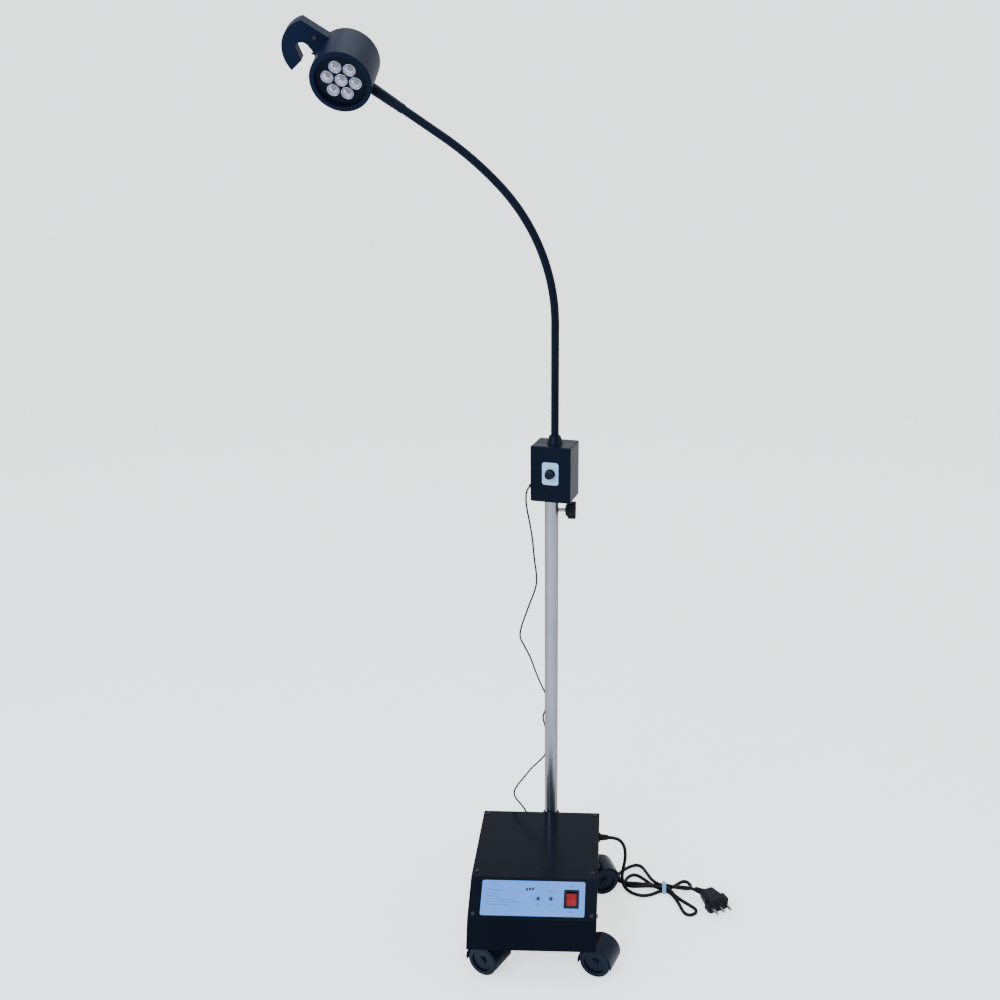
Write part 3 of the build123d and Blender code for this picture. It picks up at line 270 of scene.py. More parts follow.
# %% The swept lead
mains_route = mains_points()
mains_line = line_of(mains_route)
mains_lead = tube("mains_lead", mains_line, LEAD_D / 2 * MM, around=18)
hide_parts("mains_cord", "cord_hank")
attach(mains_lead, "base")

# %% [markdown]
# ## Lamp lead
# A thin lead carries the low voltage from the dimmer box to the cabinet's rear. It hangs loose
# beside the pole and weaves behind it on the way. It is a swept tube.

# %% Lamp lead
THIN_D = 3.0
LAMP_ROUTE = [
    (-18.6, 158.3, 714.3), (-25.5, 159.8, 707.2), (-27.5, 159.5, 693), (-26, 158.5, 675),
    (-21, 158, 650), (-16.5, 158, 621), (-14, 157.5, 588), (-9.5, 157, 556), (-11.5, 157, 537),
    (-19, 157, 517), (-28, 157, 491), (-36.5, 157, 466), (-39, 157.5, 448), (-31, 158, 432),
    (-21, 159, 411), (-13, 160, 385), (-4, 162, 360), (6, 163, 338), (6.5, 163, 316),
    (-1.5, 162.5, 298), (4, 163, 277), (11, 163, 252), (6, 163, 227), (-6, 161, 212),
    (-19, 159, 201), (-31, 158, 184), (-44, 157, 167), (-51, 156, 154), (-49, 155.5, 142),
    (-40, 155, 131), (-30, 154.5, 117), (-25.5, 153.5, 104.5), (-24, 149.5, 95),
    (-24, 142.5, 90), (-24, 136, 90),
]
lamp_line = line_of(LAMP_ROUTE)
lamp_lead = tube("lamp_lead_tube", lamp_line, THIN_D / 2 * MM, around=12)
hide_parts("lamp_lead")
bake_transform(lamp_lead)
print("lamp lead", round(length_of(lamp_line), 3), "m")

# %% [markdown]
# ## Floor and light
# A pale floor runs far behind the lamp, so it fades into the pale sky with no edge. The light
# is a soft even sky, a big cool panel in front on the left, which gives black paint part of its
# blue sheen (the rest is painted into the finishes as navy tones and a blue tint), a dim warm
# one on the right and a wide one above. The sky is brighter where it is seen than where it
# lights: the Light Path node tells the two apart, so the backdrop can be nearly white while
# black paint doesn't turn grey with its reflection.

# %% Floor and light
SKY_LIGHT = 1.0
SKY_SEEN = 2.2
FLOOR_GLOW = 1.25
FLOOR_REACH = 12.0


def area_light(name, place, aim, size, power, colour):
    """Square soft light at a place, facing a point."""
    data = bpy.data.lights.new(name, "AREA")
    data.size = size
    data.energy = power
    data.color = colour
    lamp = bpy.data.objects.new(name, data)
    bpy.context.collection.objects.link(lamp)
    lamp.location = place
    lamp.rotation_euler = (Vector(place) - Vector(aim)).to_track_quat("Z", "Y").to_euler()
    return lamp


def pale_world():
    """Even pale sky that lights the lamp from everywhere."""
    world = bpy.data.worlds.new("pale_sky")
    world.use_nodes = True
    tree = world.node_tree
    tree.nodes["Background"].inputs["Color"].default_value = (0.95, 0.97, 1.0, 1)
    seen = tree.nodes.new("ShaderNodeLightPath")
    strength = tree.nodes.new("ShaderNodeMapRange")
    strength.inputs["To Min"].default_value = SKY_LIGHT
    strength.inputs["To Max"].default_value = SKY_SEEN
    tree.links.new(seen.outputs["Is Camera Ray"], strength.inputs["Value"])
    tree.links.new(strength.outputs["Result"], tree.nodes["Background"].inputs["Strength"])
    bpy.context.scene.world = world


pale_world()
edges = np.array([-FLOOR_REACH, FLOOR_REACH])
floor_x, floor_y = np.meshgrid(edges, edges)
floor_grid = np.stack([floor_x, floor_y, np.zeros_like(floor_x)], axis=-1)
floor = surface("floor", floor_grid, closed=False)
area_light("cool_panel", (-1.6, -2.2, 2.4), (0, 0.1, 0.7), 1.8, 70, (0.72, 0.84, 1.0))
area_light("warm_panel", (2.4, -0.4, 1.2), (0.1, 0.1, 0.6), 1.2, 5, (1.0, 0.90, 0.70))
area_light("top_panel", (0.2, 0.6, 3.2), (0, 0.1, 0.6), 2.4, 30, (0.9, 0.95, 1.0))

# %% [markdown]
# ## The arm's centre line
# The arm rises straight from the box, bends over in two arcs and ends straight. The same few
# lengths as in the model give its centre line, so a ribbed skin can follow it.

# %% Centre line of the arm
ARM_BASE = np.array([20.0, 144.0, 788.5])
FIRST_BEND, SECOND_BEND = (290.0, math.radians(44)), (480.0, math.radians(13))
ARM_RUNS = (       # length and radius of each stretch
    (186.5, None), (math.prod(FIRST_BEND), FIRST_BEND[0]),
    (math.prod(SECOND_BEND), SECOND_BEND[0]), (161.3, None),
)
ARM_R = 6.5
ARM_JOINTS = (75.0, 170.0, 265.0, 360.0, 455.0, 550.0)
ARM_LENGTH = sum(run for run, _ in ARM_RUNS)


def arm_point(stations):
    """Points and running angles of the centre line, at lengths along it from the box.

    A straight stretch adds its length times (-sin, cos) of the running angle. An arc turns
    the angle by length / radius, and adds the radius times the change of (cos, sin).
    """
    left = np.array(stations, float)
    x, z, angle = np.zeros_like(left), np.zeros_like(left), np.zeros_like(left)
    for number, (run, radius) in enumerate(ARM_RUNS):
        last = number == len(ARM_RUNS) - 1
        part = np.maximum(left, 0) if last else np.clip(left, 0, run)
        if radius is None:
            x -= part * np.sin(angle)
            z += part * np.cos(angle)
        else:
            turned = angle + part / radius
            x -= radius * (np.cos(angle) - np.cos(turned))
            z += radius * (np.sin(turned) - np.sin(angle))
            angle = turned
        left -= run
    points = np.stack([ARM_BASE[0] + x, np.full_like(x, ARM_BASE[1]), ARM_BASE[2] + z], axis=-1)
    return points * MM, angle


print("arm", round(ARM_LENGTH), "mm, head at", arm_point([ARM_LENGTH])[0].round(3))

# %% [markdown]
# ## Ribbed arm
# A gooseneck is a round spring wound on a wedge wire, so its skin has a fine screw-like rib.
# The radius is the plain one plus a cosine whose phase moves with both length and angle. The
# skin is cut half way between the arm's joints.
# A Screw modifier could wind the rib too, but a formula puts every piece's rib in step.

# %% Ribbed arm
RIB_PITCH = 3.6
RIB_HEIGHT = 0.16
RIB_STEPS = 6            # rows of points in one rib
RIB_AROUND = 28
SLEEVE_LENGTH = 52.0
SLEEVE_OVERLAP = 4.0     # how far the ribs run into the sleeve
HEAD_R = 44.0
ARM_LEAN = math.radians(14.8)    # between the arm's end and the head's face
SLEEVE_FROM = ARM_LENGTH - HEAD_R / math.cos(ARM_LEAN) - SLEEVE_LENGTH
BEND_SHARE = 0.96        # share of a piece round its joint that the span covers


def ribbed_piece(index):
    """Skin from half way before one joint to half way after it.

    Its radius is the arm's, less the rib's height, plus that height times
    cos(2 pi length / pitch - angle), which winds the rib like a screw.
    """
    middles = [(a + b) / 2 for a, b in zip(ARM_JOINTS, ARM_JOINTS[1:])]
    cuts = [0.0] + middles + [SLEEVE_FROM + SLEEVE_OVERLAP]
    first, last = cuts[index], cuts[index + 1]
    stations = np.linspace(first, last, int((last - first) / RIB_PITCH * RIB_STEPS) + 1)
    angle = np.linspace(0, 2 * math.pi, RIB_AROUND, endpoint=False)
    phase = 2 * math.pi * stations[:, None] / RIB_PITCH - angle[None]
    radius = (ARM_R - RIB_HEIGHT + RIB_HEIGHT * np.cos(phase)) * MM
    piece = tube(f"gooseneck_{index + 1}", arm_point(stations)[0], radius, around=RIB_AROUND)
    joint = ARM_JOINTS[index]
    span = min(joint - first, last - joint) * BEND_SHARE
    ends = arm_point([joint - span, joint + span])[0]
    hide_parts(f"neck_link_{index + 1}")
    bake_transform(piece)
    return piece


gooseneck = [ribbed_piece(i) for i in range(len(ARM_JOINTS))]
print("gooseneck triangles", sum(2 * len(p.data.polygons) for p in gooseneck))

# %% [markdown]
# ## Crimped sleeve
# The sleeve where the arm enters the head is a turned piece. A profile of radii is carried
# along the centre line, with two shallow crimp grooves and a rounded lip.

# %% The sleeve
SLEEVE_R, SLEEVE_TAPER, INTO_HEAD = 7.2, 1.0, 3.0
GROOVES, GROOVE_DEPTH, GROOVE_HALF = (9.0, 14.0), 0.55, 0.9
LIP_DEPTH, LIP_ROUNDING = 1.1, 0.5


def crimped_sleeve():
    """Turned sleeve, with s the length along it.

    Its radius grows evenly by the taper. Each groove takes off a bell, depth times
    exp(-(distance / half width) squared), and the lip takes off depth times exp(-s / rounding).
    """
    length = SLEEVE_LENGTH + INTO_HEAD
    s = np.linspace(0, length, 160)
    radius = SLEEVE_R + SLEEVE_TAPER * s / length
    for groove in GROOVES:
        radius = radius - GROOVE_DEPTH * np.exp(-(((s - groove) / GROOVE_HALF) ** 2))
    radius = radius - LIP_DEPTH * np.exp(-s / LIP_ROUNDING)
    points = arm_point(SLEEVE_FROM + s)[0]
    return tube("crimped_sleeve", points, (radius * MM)[:, None], around=36)


sleeve = crimped_sleeve()
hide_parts("neck_ferrule")
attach(sleeve, "head")
print("sleeve from", round(SLEEVE_FROM, 1), "mm along the arm")

# %% [markdown]
# ## Lens cups
# Each clear lens sits in a bright cup with a thin rim, over a small light-emitting chip. The
# cup is a turned profile, so one grid per lens gives it, placed in the head's own frame. That
# frame comes from the arm's end and the tilt of the beam, as in the model.

# %% The head's frame
HEAD_DROP = math.radians(28)
FACE = 33.0
LENS_RING = 20.0
LENS_TURN = 17.0


def head_frame():
    """Centre and axes of the head: across towards the arm, over, and along the beam."""
    centre, angle = arm_point([ARM_LENGTH])
    beam = np.array([0.0, -math.cos(HEAD_DROP), -math.sin(HEAD_DROP)])
    back = np.array([math.sin(angle[0]), 0.0, -math.cos(angle[0])])
    across = back - beam * back.dot(beam)
    across /= np.linalg.norm(across)
    return centre[0], np.stack([across, np.cross(beam, across), beam])


HEAD_CENTRE, HEAD_AXES = head_frame()
print("beam", HEAD_AXES[2].round(3))


def turned_in_head(name, x, y, profile, around=40):
    """Turned piece from (radius, height) pairs about the beam direction through x, y."""
    profile = np.array(profile, float)
    angle = np.linspace(0, 2 * math.pi, around, endpoint=False)
    local = np.stack([
        x + profile[:, :1] * np.cos(angle), y + profile[:, :1] * np.sin(angle),
        np.repeat(profile[:, 1:], around, axis=1),
    ], axis=-1)
    return surface(name, HEAD_CENTRE + (local * MM) @ HEAD_AXES)


def lens_spots():
    """One lens in the middle and six round it."""
    turns = np.radians(LENS_TURN + 60 * np.arange(6))
    ring = np.stack([np.cos(turns), np.sin(turns)], axis=-1) * LENS_RING
    return np.vstack([[0.0, 0.0], ring])


# %% Cups, rims and chips: (radius, height) pairs
CUP = [(5.3, FACE - 9.8), (6.1, FACE - 7.5), (7.2, FACE - 4.5), (8.0, FACE - 1.5), (8.4, FACE + 0.05),
       (8.6, FACE + 0.2), (8.8, FACE + 0.02)]
CHIP = [(0.05, FACE - 11.05), (2.2, FACE - 11.1), (2.4, FACE - 11.15), (2.45, FACE - 11.2)]
cups = []
chips = []
for number, (x, y) in enumerate(lens_spots()):
    cups.append(turned_in_head(f"lens_cup_{number}", x, y, CUP))
    chips.append(turned_in_head(f"light_chip_{number}", x, y, CHIP, around=16))
for piece in cups + chips:
    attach(piece, "head")
print("cups", len(cups))

# %% [markdown]
# ## Printed marks
# The panel label and the dial carry thin print: plain bars in place of words, small rings
# round the two lights, and a scale of ticks round the dimmer knob. Ink could be painted in a
# material, but as geometry it stays sharp from close by. Each mark is a slab under a tenth of a
# millimetre thick that lies on its plate, and all marks of one ink on a plate are one mesh.

# %% Slabs on a plate
PLATE_T = 0.8
INK_T = 0.08


def plate_frame(origin, across, normal):
    """Origin in metres and axes of a plate: across, up and out of it."""
    across = np.array(across, float) / np.linalg.norm(across)
    normal = np.array(normal, float) / np.linalg.norm(normal)
    return np.array(origin, float) * MM, np.stack([across, np.cross(normal, across), normal])


def marks(name, plate, rectangles):
    """One mesh of thin slabs (x, y, width, height, turn in degrees) on a plate."""
    origin, axes = plate
    rect = np.array(rectangles, float)
    corner = np.array([[-1, -1], [1, -1], [1, 1], [-1, 1]]) / 2
    turn = np.radians(rect[:, 4])[:, None]
    u = corner[None, :, 0] * rect[:, 2:3]
    v = corner[None, :, 1] * rect[:, 3:4]
    x = rect[:, 0:1] + u * np.cos(turn) - v * np.sin(turn)
    y = rect[:, 1:2] + u * np.sin(turn) + v * np.cos(turn)
    low = np.stack([x, y, np.full_like(x, PLATE_T)], axis=-1)
    high = low + [0, 0, INK_T]
    points = np.concatenate([low, high], axis=1).reshape(-1, 3)
    walls = [[0, 1, 5, 4], [1, 2, 6, 5], [2, 3, 7, 6], [3, 0, 4, 7]]
    box = np.array([[3, 2, 1, 0], [4, 5, 6, 7]] + walls)
    faces = (box[None] + 8 * np.arange(len(rect))[:, None, None]).reshape(-1, 4)
    mesh = bpy.data.meshes.new(name)
    mesh.from_pydata((origin + (points * MM) @ axes).tolist(), [], faces.tolist())
    made = bpy.data.objects.new(name, mesh)
    bpy.context.collection.objects.link(made)
    return made


def ring_of_bars(x, y, radius, count, start, sweep, size):
    """Bars set round an arc, each pointing to its middle."""
    angle = np.radians(start + sweep * np.arange(count) / (count - 1))
    spots = np.stack([x + radius * np.cos(angle), y + radius * np.sin(angle)], axis=-1)
    sizes = np.tile(size, (count, 1))
    return np.hstack([spots, sizes, np.degrees(angle)[:, None]]).tolist()


# %% Plates of the label and the dial
PANEL = plate_frame((0, -82, 112.5), (1, 0, 0), (0, -35, 58))
DIAL_TURN = math.radians(-12)
DIAL_OUT = np.array([math.sin(DIAL_TURN), -math.cos(DIAL_TURN), 0.0])
DIAL_ORIGIN = np.array([20.0, 144.0, 745.5]) + 27 * DIAL_OUT
DIAL = plate_frame(DIAL_ORIGIN, (math.cos(DIAL_TURN), math.sin(DIAL_TURN), 0), DIAL_OUT)
print("panel up", PANEL[1][1].round(3), "dial out", DIAL[1][2].round(3))

# %% Marks
LINES = ((16, 7), (22, 2.5), (48, -2), (56, -6.5), (36, -11))     # each line's width and place
LINES_FROM = -74.0
LIGHT_XS = (8, 28)
mark_bars = [(-10, 14, 3.6, 4.2, 8), (-5.4, 14.7, 3.6, 4.2, 8), (-0.8, 15.3, 3.6, 4.2, 8)]
mark_print = marks("mark_print", PANEL, mark_bars)
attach(mark_print, "base")
label_bars = [(-60, 12.5, 22, 1.1, 0), (28, 12, 15, 1.0, 0)]
label_bars += [(LINES_FROM + width / 2, y, width, 0.8, 0) for width, y in LINES]
label_bars += [(8, -10, 9, 0.8, 0), (28, -10, 11, 0.8, 0)]
label_bars += [(60, 20.5, 6, 1.2, 0), (60, -20.5, 6, 1.2, 0)]
for x in LIGHT_XS:
    label_bars += ring_of_bars(x, 0, 4.0, 16, 0, 337.5, (0.5, 1.7))
label_print = marks("label_print", PANEL, label_bars)
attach(label_print, "base")
dial_bars = ring_of_bars(0, 0, 9.4, 11, -60, 300, (1.3, 0.5))
dial_print = marks("dial_print", DIAL, dial_bars)
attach(dial_print, "mast")
print("marks", len(label_bars), len(dial_bars))

# %% [markdown]
# ## Shared effects
# Three effects return in most finishes, so each is a node group built once. Mottle gives a
# slowly changing value between two limits, such as a roughness that handling has made uneven.
# Grain gives a fine bumpy normal. Streaks gives a value drawn out along one axis, as on drawn
# or brushed metal.

# %% Node groups


def group(name, numbers, outputs):
    """Empty shader group with float inputs and named outputs."""
    tree = bpy.data.node_groups.new(name, "ShaderNodeTree")
    for label, value in numbers.items():
        socket = tree.interface.new_socket(label, in_out="INPUT", socket_type="NodeSocketFloat")
        socket.default_value = value
    for label, kind in outputs.items():
        tree.interface.new_socket(label, in_out="OUTPUT", socket_type=kind)
    return tree, tree.nodes.new("NodeGroupInput"), tree.nodes.new("NodeGroupOutput")


def object_noise(tree, scale_socket, detail, stretch=None):
    """Noise on Object coordinates, drawn out along an axis if a stretch is given."""
    place = tree.nodes.new("ShaderNodeTexCoord")
    noise = tree.nodes.new("ShaderNodeTexNoise")
    noise.inputs["Detail"].default_value = detail
    source = place.outputs["Object"]
    if stretch is not None:
        mapping = tree.nodes.new("ShaderNodeMapping")
        mapping.inputs["Scale"].default_value = stretch
        tree.links.new(source, mapping.inputs["Vector"])
        source = mapping.outputs["Vector"]
    tree.links.new(source, noise.inputs["Vector"])
    tree.links.new(scale_socket, noise.inputs["Scale"])
    return noise


def value_group(name, detail, stretch=None):
    """Noise turned into a value between Low and High."""
    numbers = {"Scale": 40.0, "Low": 0.2, "High": 0.4}
    tree, given, out = group(name, numbers, {"Value": "NodeSocketFloat"})
    noise = object_noise(tree, given.outputs["Scale"], detail, stretch)
    spread = tree.nodes.new("ShaderNodeMapRange")
    spread.inputs["From Min"].default_value = 0.3
    spread.inputs["From Max"].default_value = 0.7
    tree.links.new(noise.outputs["Fac"], spread.inputs["Value"])
    tree.links.new(given.outputs["Low"], spread.inputs["To Min"])
    tree.links.new(given.outputs["High"], spread.inputs["To Max"])
    tree.links.new(spread.outputs["Result"], out.inputs["Value"])
    return tree


def grain_group():
    """Fine noise turned into a bumpy normal."""
    numbers = {"Scale": 900.0, "Strength": 0.2}
    tree, given, out = group("Grain", numbers, {"Normal": "NodeSocketVector"})
    noise = object_noise(tree, given.outputs["Scale"], 3.0)
    bump = tree.nodes.new("ShaderNodeBump")
    bump.inputs["Distance"].default_value = 0.0003
    tree.links.new(given.outputs["Strength"], bump.inputs["Strength"])
    tree.links.new(noise.outputs["Fac"], bump.inputs["Height"])
    tree.links.new(bump.outputs["Normal"], out.inputs["Normal"])
    return tree


MOTTLE = value_group("Mottle", 4.0)
GRAIN = grain_group()
STREAKS = value_group("Streaks", 5.0, (1.0, 1.0, 0.02))
print("groups", [tree.name for tree in (MOTTLE, GRAIN, STREAKS)])

# %% [markdown]
# ## Finishes
# A finish is one Principled shader. Its constants sit on its own sockets, and only what
# changes over the surface comes in through a node: an uneven roughness, a fine grain, and a
# colour that moves between two close tones. Black paint is kept almost black, because its
# look comes from what it reflects. On most black parts the second tone is a painted navy sheen,
# and many of them also get a painted blue tint on their reflections.

# %% Building a finish
TONE_SCALE = 0.4         # patches of tone are larger than patches of roughness


def effect(tree, shared, **values):
    """A shared group placed in a material with its own values."""
    node = tree.nodes.new("ShaderNodeGroup")
    node.node_tree = shared
    for label, value in values.items():
        node.inputs[label].default_value = value
    return node


def finish(name, tone, second, rough=(0.3, 0.4), grain=(900, 0.1), metal=0.0, scale=40, **sockets):
    """Material with two close tones, a mottled roughness and a fine grain."""
    made = bpy.data.materials.new(name)
    made.use_nodes = True
    tree = made.node_tree
    shader = tree.nodes["Principled BSDF"]
    shader.inputs["Metallic"].default_value = metal
    for label, value in sockets.items():
        shader.inputs[label.replace("_", " ")].default_value = value
    uneven = effect(tree, MOTTLE, Scale=scale, Low=rough[0], High=rough[1])
    tree.links.new(uneven.outputs["Value"], shader.inputs["Roughness"])
    fine = effect(tree, GRAIN, Scale=grain[0], Strength=grain[1])
    tree.links.new(fine.outputs["Normal"], shader.inputs["Normal"])
    tones = effect(tree, MOTTLE, Scale=scale * TONE_SCALE, Low=0.0, High=1.0)
    blend = tree.nodes.new("ShaderNodeMix")
    blend.data_type = "RGBA"
    blend.name = "tones"
    blend.inputs["A"].default_value = (*tone, 1)
    blend.inputs["B"].default_value = (*second, 1)
    tree.links.new(tones.outputs["Value"], blend.inputs["Factor"])
    tree.links.new(blend.outputs["Result"], shader.inputs["Base Color"])
    return made


# %% [markdown]
# ## Three special cases
# Drawn tube has its fine scratches along its length, so its roughness runs in streaks. A round
# polished tube looks darker towards its edges, where it mirrors what stands beside it; here that
# reflection is painted, as a colour that turns darker towards the edges. And the clamp knob is a
# plastic handle moulded on a steel screw: one material tells the two apart by where a point lies
# along the screw.

# %% Streaks, a painted edge reflection and a metal end


def retoned(made, factor, tone):
    """Mixes another tone into a finish's colour by a factor."""
    tree = made.node_tree
    swap = tree.nodes.new("ShaderNodeMix")
    swap.data_type = "RGBA"
    swap.inputs["B"].default_value = (*tone, 1)
    tree.links.new(factor, swap.inputs["Factor"])
    tree.links.new(tree.nodes["tones"].outputs["Result"], swap.inputs["A"])
    tree.links.new(swap.outputs["Result"], tree.nodes["Principled BSDF"].inputs["Base Color"])
    return made


def streaked(made, low, high, scale=260):
    """Makes a metal's roughness run in streaks along Z, as on drawn tube."""
    tree = made.node_tree
    streak = effect(tree, STREAKS, Scale=scale, Low=low, High=high)
    tree.links.new(streak.outputs["Value"], tree.nodes["Principled BSDF"].inputs["Roughness"])
    return made


def painted_edge_reflection(made, tone, spread=0.42):
    """Painted reflection: turns a round metal's colour towards a darker tone where the surface turns
    away.
    """
    turned_away = made.node_tree.nodes.new("ShaderNodeLayerWeight")
    turned_away.inputs["Blend"].default_value = spread
    return retoned(made, turned_away.outputs["Facing"], tone)


def metal_below(made, axis, border, tone):
    """Where Object coordinate axis is below border, the material is a plated metal instead."""
    tree = made.node_tree
    place = tree.nodes.new("ShaderNodeTexCoord")
    parts = tree.nodes.new("ShaderNodeSeparateXYZ")
    tree.links.new(place.outputs["Object"], parts.inputs["Vector"])
    below = tree.nodes.new("ShaderNodeMath")
    below.operation = "LESS_THAN"
    below.inputs[1].default_value = border
    tree.links.new(parts.outputs[axis], below.inputs[0])
    tree.links.new(below.outputs["Value"], tree.nodes["Principled BSDF"].inputs["Metallic"])
    return retoned(made, below.outputs["Value"], tone)


# %% The lamp's finishes
BLACK = (0.0012, 0.0018, 0.0045)
BLACK_2 = (0.0020, 0.0030, 0.0080)
# Painted sheen: the two navy tones below stand for the blue sheen of black parts, and the cool colour
# after them is a blue tint painted onto their reflections.
PAINTED_NAVY_SHEEN = (0.0024, 0.0050, 0.0150)
PAINTED_NAVY_SHEEN_2 = (0.0040, 0.0095, 0.0310)
PAINTED_SHEEN_TINT = (0.50, 0.68, 1.0, 1)
SCREW_END = 0.0370       # the clamp's bare screw is below this on X, in metres
cabinet_enamel = finish("cabinet_enamel", BLACK, BLACK_2, (0.14, 0.24), (420, 0.05), scale=18,
                        Specular_IOR_Level=0.13, Specular_Tint=PAINTED_SHEEN_TINT)
box_casing = finish("box_casing", BLACK_2, PAINTED_NAVY_SHEEN, (0.30, 0.40), (1300, 0.16), scale=30,
                    Specular_IOR_Level=0.13, Specular_Tint=PAINTED_SHEEN_TINT)
head_coat = finish("head_coat", BLACK_2, PAINTED_NAVY_SHEEN_2, (0.34, 0.46), (1500, 0.12), scale=16,
                   Specular_IOR_Level=0.10, Specular_Tint=PAINTED_SHEEN_TINT)
arm_coat = finish("arm_coat", BLACK_2, PAINTED_NAVY_SHEEN, (0.34, 0.46), (1600, 0.1), scale=60,
                  Specular_IOR_Level=0.12, Specular_Tint=PAINTED_SHEEN_TINT)
sleeve_coat = finish("sleeve_coat", BLACK, PAINTED_NAVY_SHEEN, (0.30, 0.38), (1500, 0.1), scale=60,
                     Specular_IOR_Level=0.14, Specular_Tint=PAINTED_SHEEN_TINT)
label_film = finish("label_film", (0.10, 0.31, 0.86), (0.13, 0.35, 0.90), (0.34, 0.44),
                    (700, 0.04), scale=22, Specular_IOR_Level=0.2)
print_ink = finish("print_ink", (0.045, 0.13, 0.36), (0.06, 0.16, 0.42), (0.5, 0.6), scale=80)
dark_ink = finish("dark_ink", (0.010, 0.020, 0.050), (0.016, 0.030, 0.070), (0.5, 0.6), scale=80)
dial_film = finish("dial_film", (0.34, 0.62, 0.95), (0.42, 0.70, 0.98), (0.28, 0.36), (800, 0.04))
switch_plastic = finish("switch_plastic", BLACK, BLACK_2, (0.35, 0.45), (1400, 0.2),
                        Specular_IOR_Level=0.2)
# The faint red emission on the rocker is a painted glow.
rocker_plastic_and_glow = finish(
    "rocker_plastic_and_glow", (0.16, 0.002, 0.006), (0.36, 0.008, 0.018), (0.12, 0.2), (900, 0.03),
    scale=110, Specular_IOR_Level=0.25,
    Emission_Color=(1.0, 0.02, 0.03, 1), Emission_Strength=0.05,
)
light_lens = finish("light_lens", (0.010, 0.012, 0.022), (0.02, 0.024, 0.04), (0.08, 0.14),
                    Specular_IOR_Level=0.4)
blackened_screw = finish("blackened_screw", (0.010, 0.012, 0.020), (0.02, 0.023, 0.034),
                         (0.26, 0.38), (1500, 0.1), Specular_IOR_Level=0.35)
zinc_sheet = finish("zinc_sheet", (0.52, 0.53, 0.56), (0.62, 0.63, 0.65), (0.3, 0.5),
                    (500, 0.1), 1.0)
battery_case = finish("battery_case", (0.06, 0.065, 0.07), (0.08, 0.085, 0.09), (0.45, 0.6),
                      (600, 0.2))
board_mask = finish("board_mask", (0.02, 0.12, 0.05), (0.03, 0.16, 0.07), (0.25, 0.4),
                    (500, 0.2), scale=120)
soft_rubber = finish("soft_rubber", (0.004, 0.004, 0.005), (0.008, 0.008, 0.009), (0.5, 0.65),
                     (1200, 0.3), Specular_IOR_Level=0.2)
wheel_nylon = finish("wheel_nylon", BLACK_2, PAINTED_NAVY_SHEEN, (0.22, 0.34), (900, 0.2), scale=70,
                     Specular_IOR_Level=0.28, Specular_Tint=PAINTED_SHEEN_TINT)
hood_plastic = finish("hood_plastic", BLACK, PAINTED_NAVY_SHEEN, (0.18, 0.28), (1100, 0.1), scale=50,
                      Specular_IOR_Level=0.24, Specular_Tint=PAINTED_SHEEN_TINT)
pole_metal = streaked(
    finish("pole_metal", (0.40, 0.41, 0.46), (0.48, 0.49, 0.54), grain=(1400, 0.05), metal=1.0),
    0.24, 0.36)
bush_nylon = finish("bush_nylon", (0.006, 0.006, 0.007), (0.010, 0.010, 0.012), (0.4, 0.5),
                    Specular_IOR_Level=0.2)
knob_plastic = finish("knob_plastic", BLACK_2, PAINTED_NAVY_SHEEN, (0.30, 0.42), (1300, 0.2),
                      Specular_IOR_Level=0.2)
clamp_plastic = metal_below(
    finish("clamp_plastic", BLACK, BLACK_2, (0.25, 0.35), (1200, 0.15), Specular_IOR_Level=0.2),
    "X", SCREW_END, (0.45, 0.46, 0.50))
tray_plate = finish("tray_plate", BLACK, PAINTED_NAVY_SHEEN, (0.35, 0.5), (900, 0.15),
                    Specular_IOR_Level=0.12, Specular_Tint=PAINTED_SHEEN_TINT)
cup_mirror = finish("cup_mirror", (0.50, 0.52, 0.66), (0.78, 0.79, 0.95), (0.12, 0.26),
                    (700, 0.2), 1.0, scale=260)
chip_glow = finish("chip_glow", (0.05, 0.05, 0.09), (0.09, 0.08, 0.14), (0.4, 0.5), scale=200)
sink_metal = finish("sink_metal", (0.62, 0.63, 0.65), (0.7, 0.7, 0.72), (0.35, 0.5),
                    (600, 0.2), 1.0)
lead_sheath = finish("lead_sheath", (0.0015, 0.0015, 0.0025), (0.003, 0.003, 0.005),
                     (0.36, 0.48), (1500, 0.15), scale=90, Specular_IOR_Level=0.2)
thin_sheath = finish("thin_sheath", (0.010, 0.009, 0.008), (0.016, 0.014, 0.012),
                     (0.40, 0.52), (1600, 0.15), scale=90, Specular_IOR_Level=0.2)
plug_moulding = finish("plug_moulding", BLACK, BLACK_2, (0.34, 0.46), (900, 0.3), scale=60,
                       Specular_IOR_Level=0.18)
tie_band = finish("tie_band", (0.16, 0.34, 0.68), (0.26, 0.46, 0.80), (0.35, 0.5),
                  (1500, 0.3), scale=150)
nickel_pin = finish("nickel_pin", (0.34, 0.35, 0.38), (0.44, 0.45, 0.48), (0.16, 0.26),
                    (1500, 0.05), 1.0)
lens_glass = finish(
    "lens_glass", (0.90, 0.90, 1.0), (0.94, 0.93, 1.0), (0.03, 0.07), (500, 0.03), scale=120,
    Transmission_Weight=0.9, IOR=1.47,
)

# Painted reflection: the pole's colour turns darker towards its edges.
painted_edge_reflection(pole_metal, (0.09, 0.09, 0.11))
print("finishes", len(bpy.data.materials))

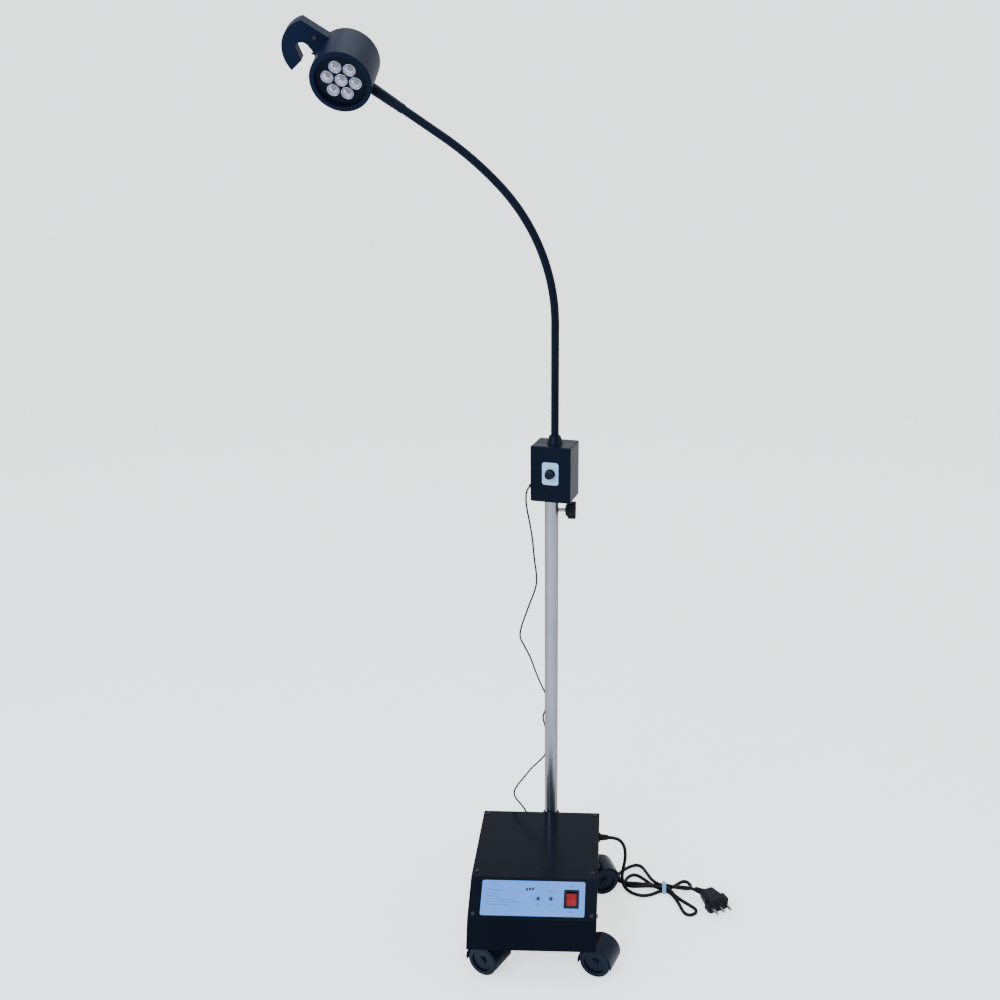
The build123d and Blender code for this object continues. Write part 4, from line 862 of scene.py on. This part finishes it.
# %% Finish of each piece
NODE_FINISH = {
    cabinet_enamel: ["cover_sheet", "side_panel_left", "side_panel_right", "rear_panel", "pole_bracket"],
    box_casing: ["box_shell", "box_lid"],
    head_coat: ["head_shell", "head_back", "head_bezel", "hook"],
    sleeve_coat: ["neck_collar", "neck_ferrule"],
    arm_coat: [f"neck_link_{i}" for i in range(1, 7)],
    label_film: ["panel_label"],
    dial_film: ["dial_plate"],
    switch_plastic: ["switch_bezel"],
    rocker_plastic_and_glow: ["switch_rocker"],
    light_lens: ["indicator_lights"],
    blackened_screw: ["base_screws", "lid_screws", "hook_screws"],
    zinc_sheet: ["base_tray", "caster_sockets", "mast_socket", "dimmer_pot"],
    battery_case: ["battery"],
    board_mask: ["power_board", "driver_board", "led_board"],
    soft_rubber: ["base_glands", "box_gland"],
    pole_metal: ["pole", "mast_tube"],
    bush_nylon: ["pole_bush", "clamp_pad"],
    clamp_plastic: ["clamp_knob"],
    knob_plastic: ["dimmer_knob"],
    tray_plate: ["lens_tray"],
    lens_glass: ["lenses"],
    sink_metal: ["heat_sink"],
    lead_sheath: ["mains_cord", "cord_hank"],
    thin_sheath: ["lamp_lead"],
    plug_moulding: ["plug_body"],
    nickel_pin: ["plug_pins"],
    tie_band: ["cord_tie"],
    hood_plastic: [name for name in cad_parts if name.startswith("caster_yoke")],
    wheel_nylon: [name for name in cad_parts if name.startswith("caster_wheels")],
}


def coat(piece, material):
    """Gives every slot of a piece one material."""
    if not piece.material_slots:
        piece.data.materials.append(material)
    for slot in piece.material_slots:
        slot.material = material


for material, names in NODE_FINISH.items():
    for name in names:
        coat(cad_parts[name], material)
for piece, material in [(mains_lead, lead_sheath), (lamp_lead, thin_sheath), (sleeve, sleeve_coat),
                        (label_print, print_ink), (mark_print, dark_ink), (dial_print, dark_ink)]:
    coat(piece, material)
for piece in gooseneck:
    coat(piece, arm_coat)
for piece in cups:
    coat(piece, cup_mirror)
for piece in chips:
    coat(piece, chip_glow)
listed = {name for names in NODE_FINISH.values() for name in names}
print("nodes without a finish", set(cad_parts) - listed)

# %% [markdown]
# ## Finish of the floor
# The floor isn't part of the lamp. It glows only where the camera sees it, so it fades into
# the sky behind it and throws no light of its own onto the cabinet.

# %% The floor's finish


def seen_glow(made, colour, strength):
    """Makes a finish glow by a strength, but only to the camera."""
    tree = made.node_tree
    shader = tree.nodes["Principled BSDF"]
    seen = tree.nodes.new("ShaderNodeLightPath")
    lifted = tree.nodes.new("ShaderNodeMath")
    lifted.operation = "MULTIPLY"
    lifted.inputs[1].default_value = strength
    tree.links.new(seen.outputs["Is Camera Ray"], lifted.inputs[0])
    shader.inputs["Emission Color"].default_value = colour
    tree.links.new(lifted.outputs["Value"], shader.inputs["Emission Strength"])
    return made


pale_floor = seen_glow(
    finish("pale_floor", (0.90, 0.90, 0.90), (0.92, 0.92, 0.92), (0.7, 0.8), (20, 0.0), scale=1),
    (0.96, 0.98, 1.0, 1), FLOOR_GLOW)
coat(floor, pale_floor)
print("floor glow", FLOOR_GLOW)
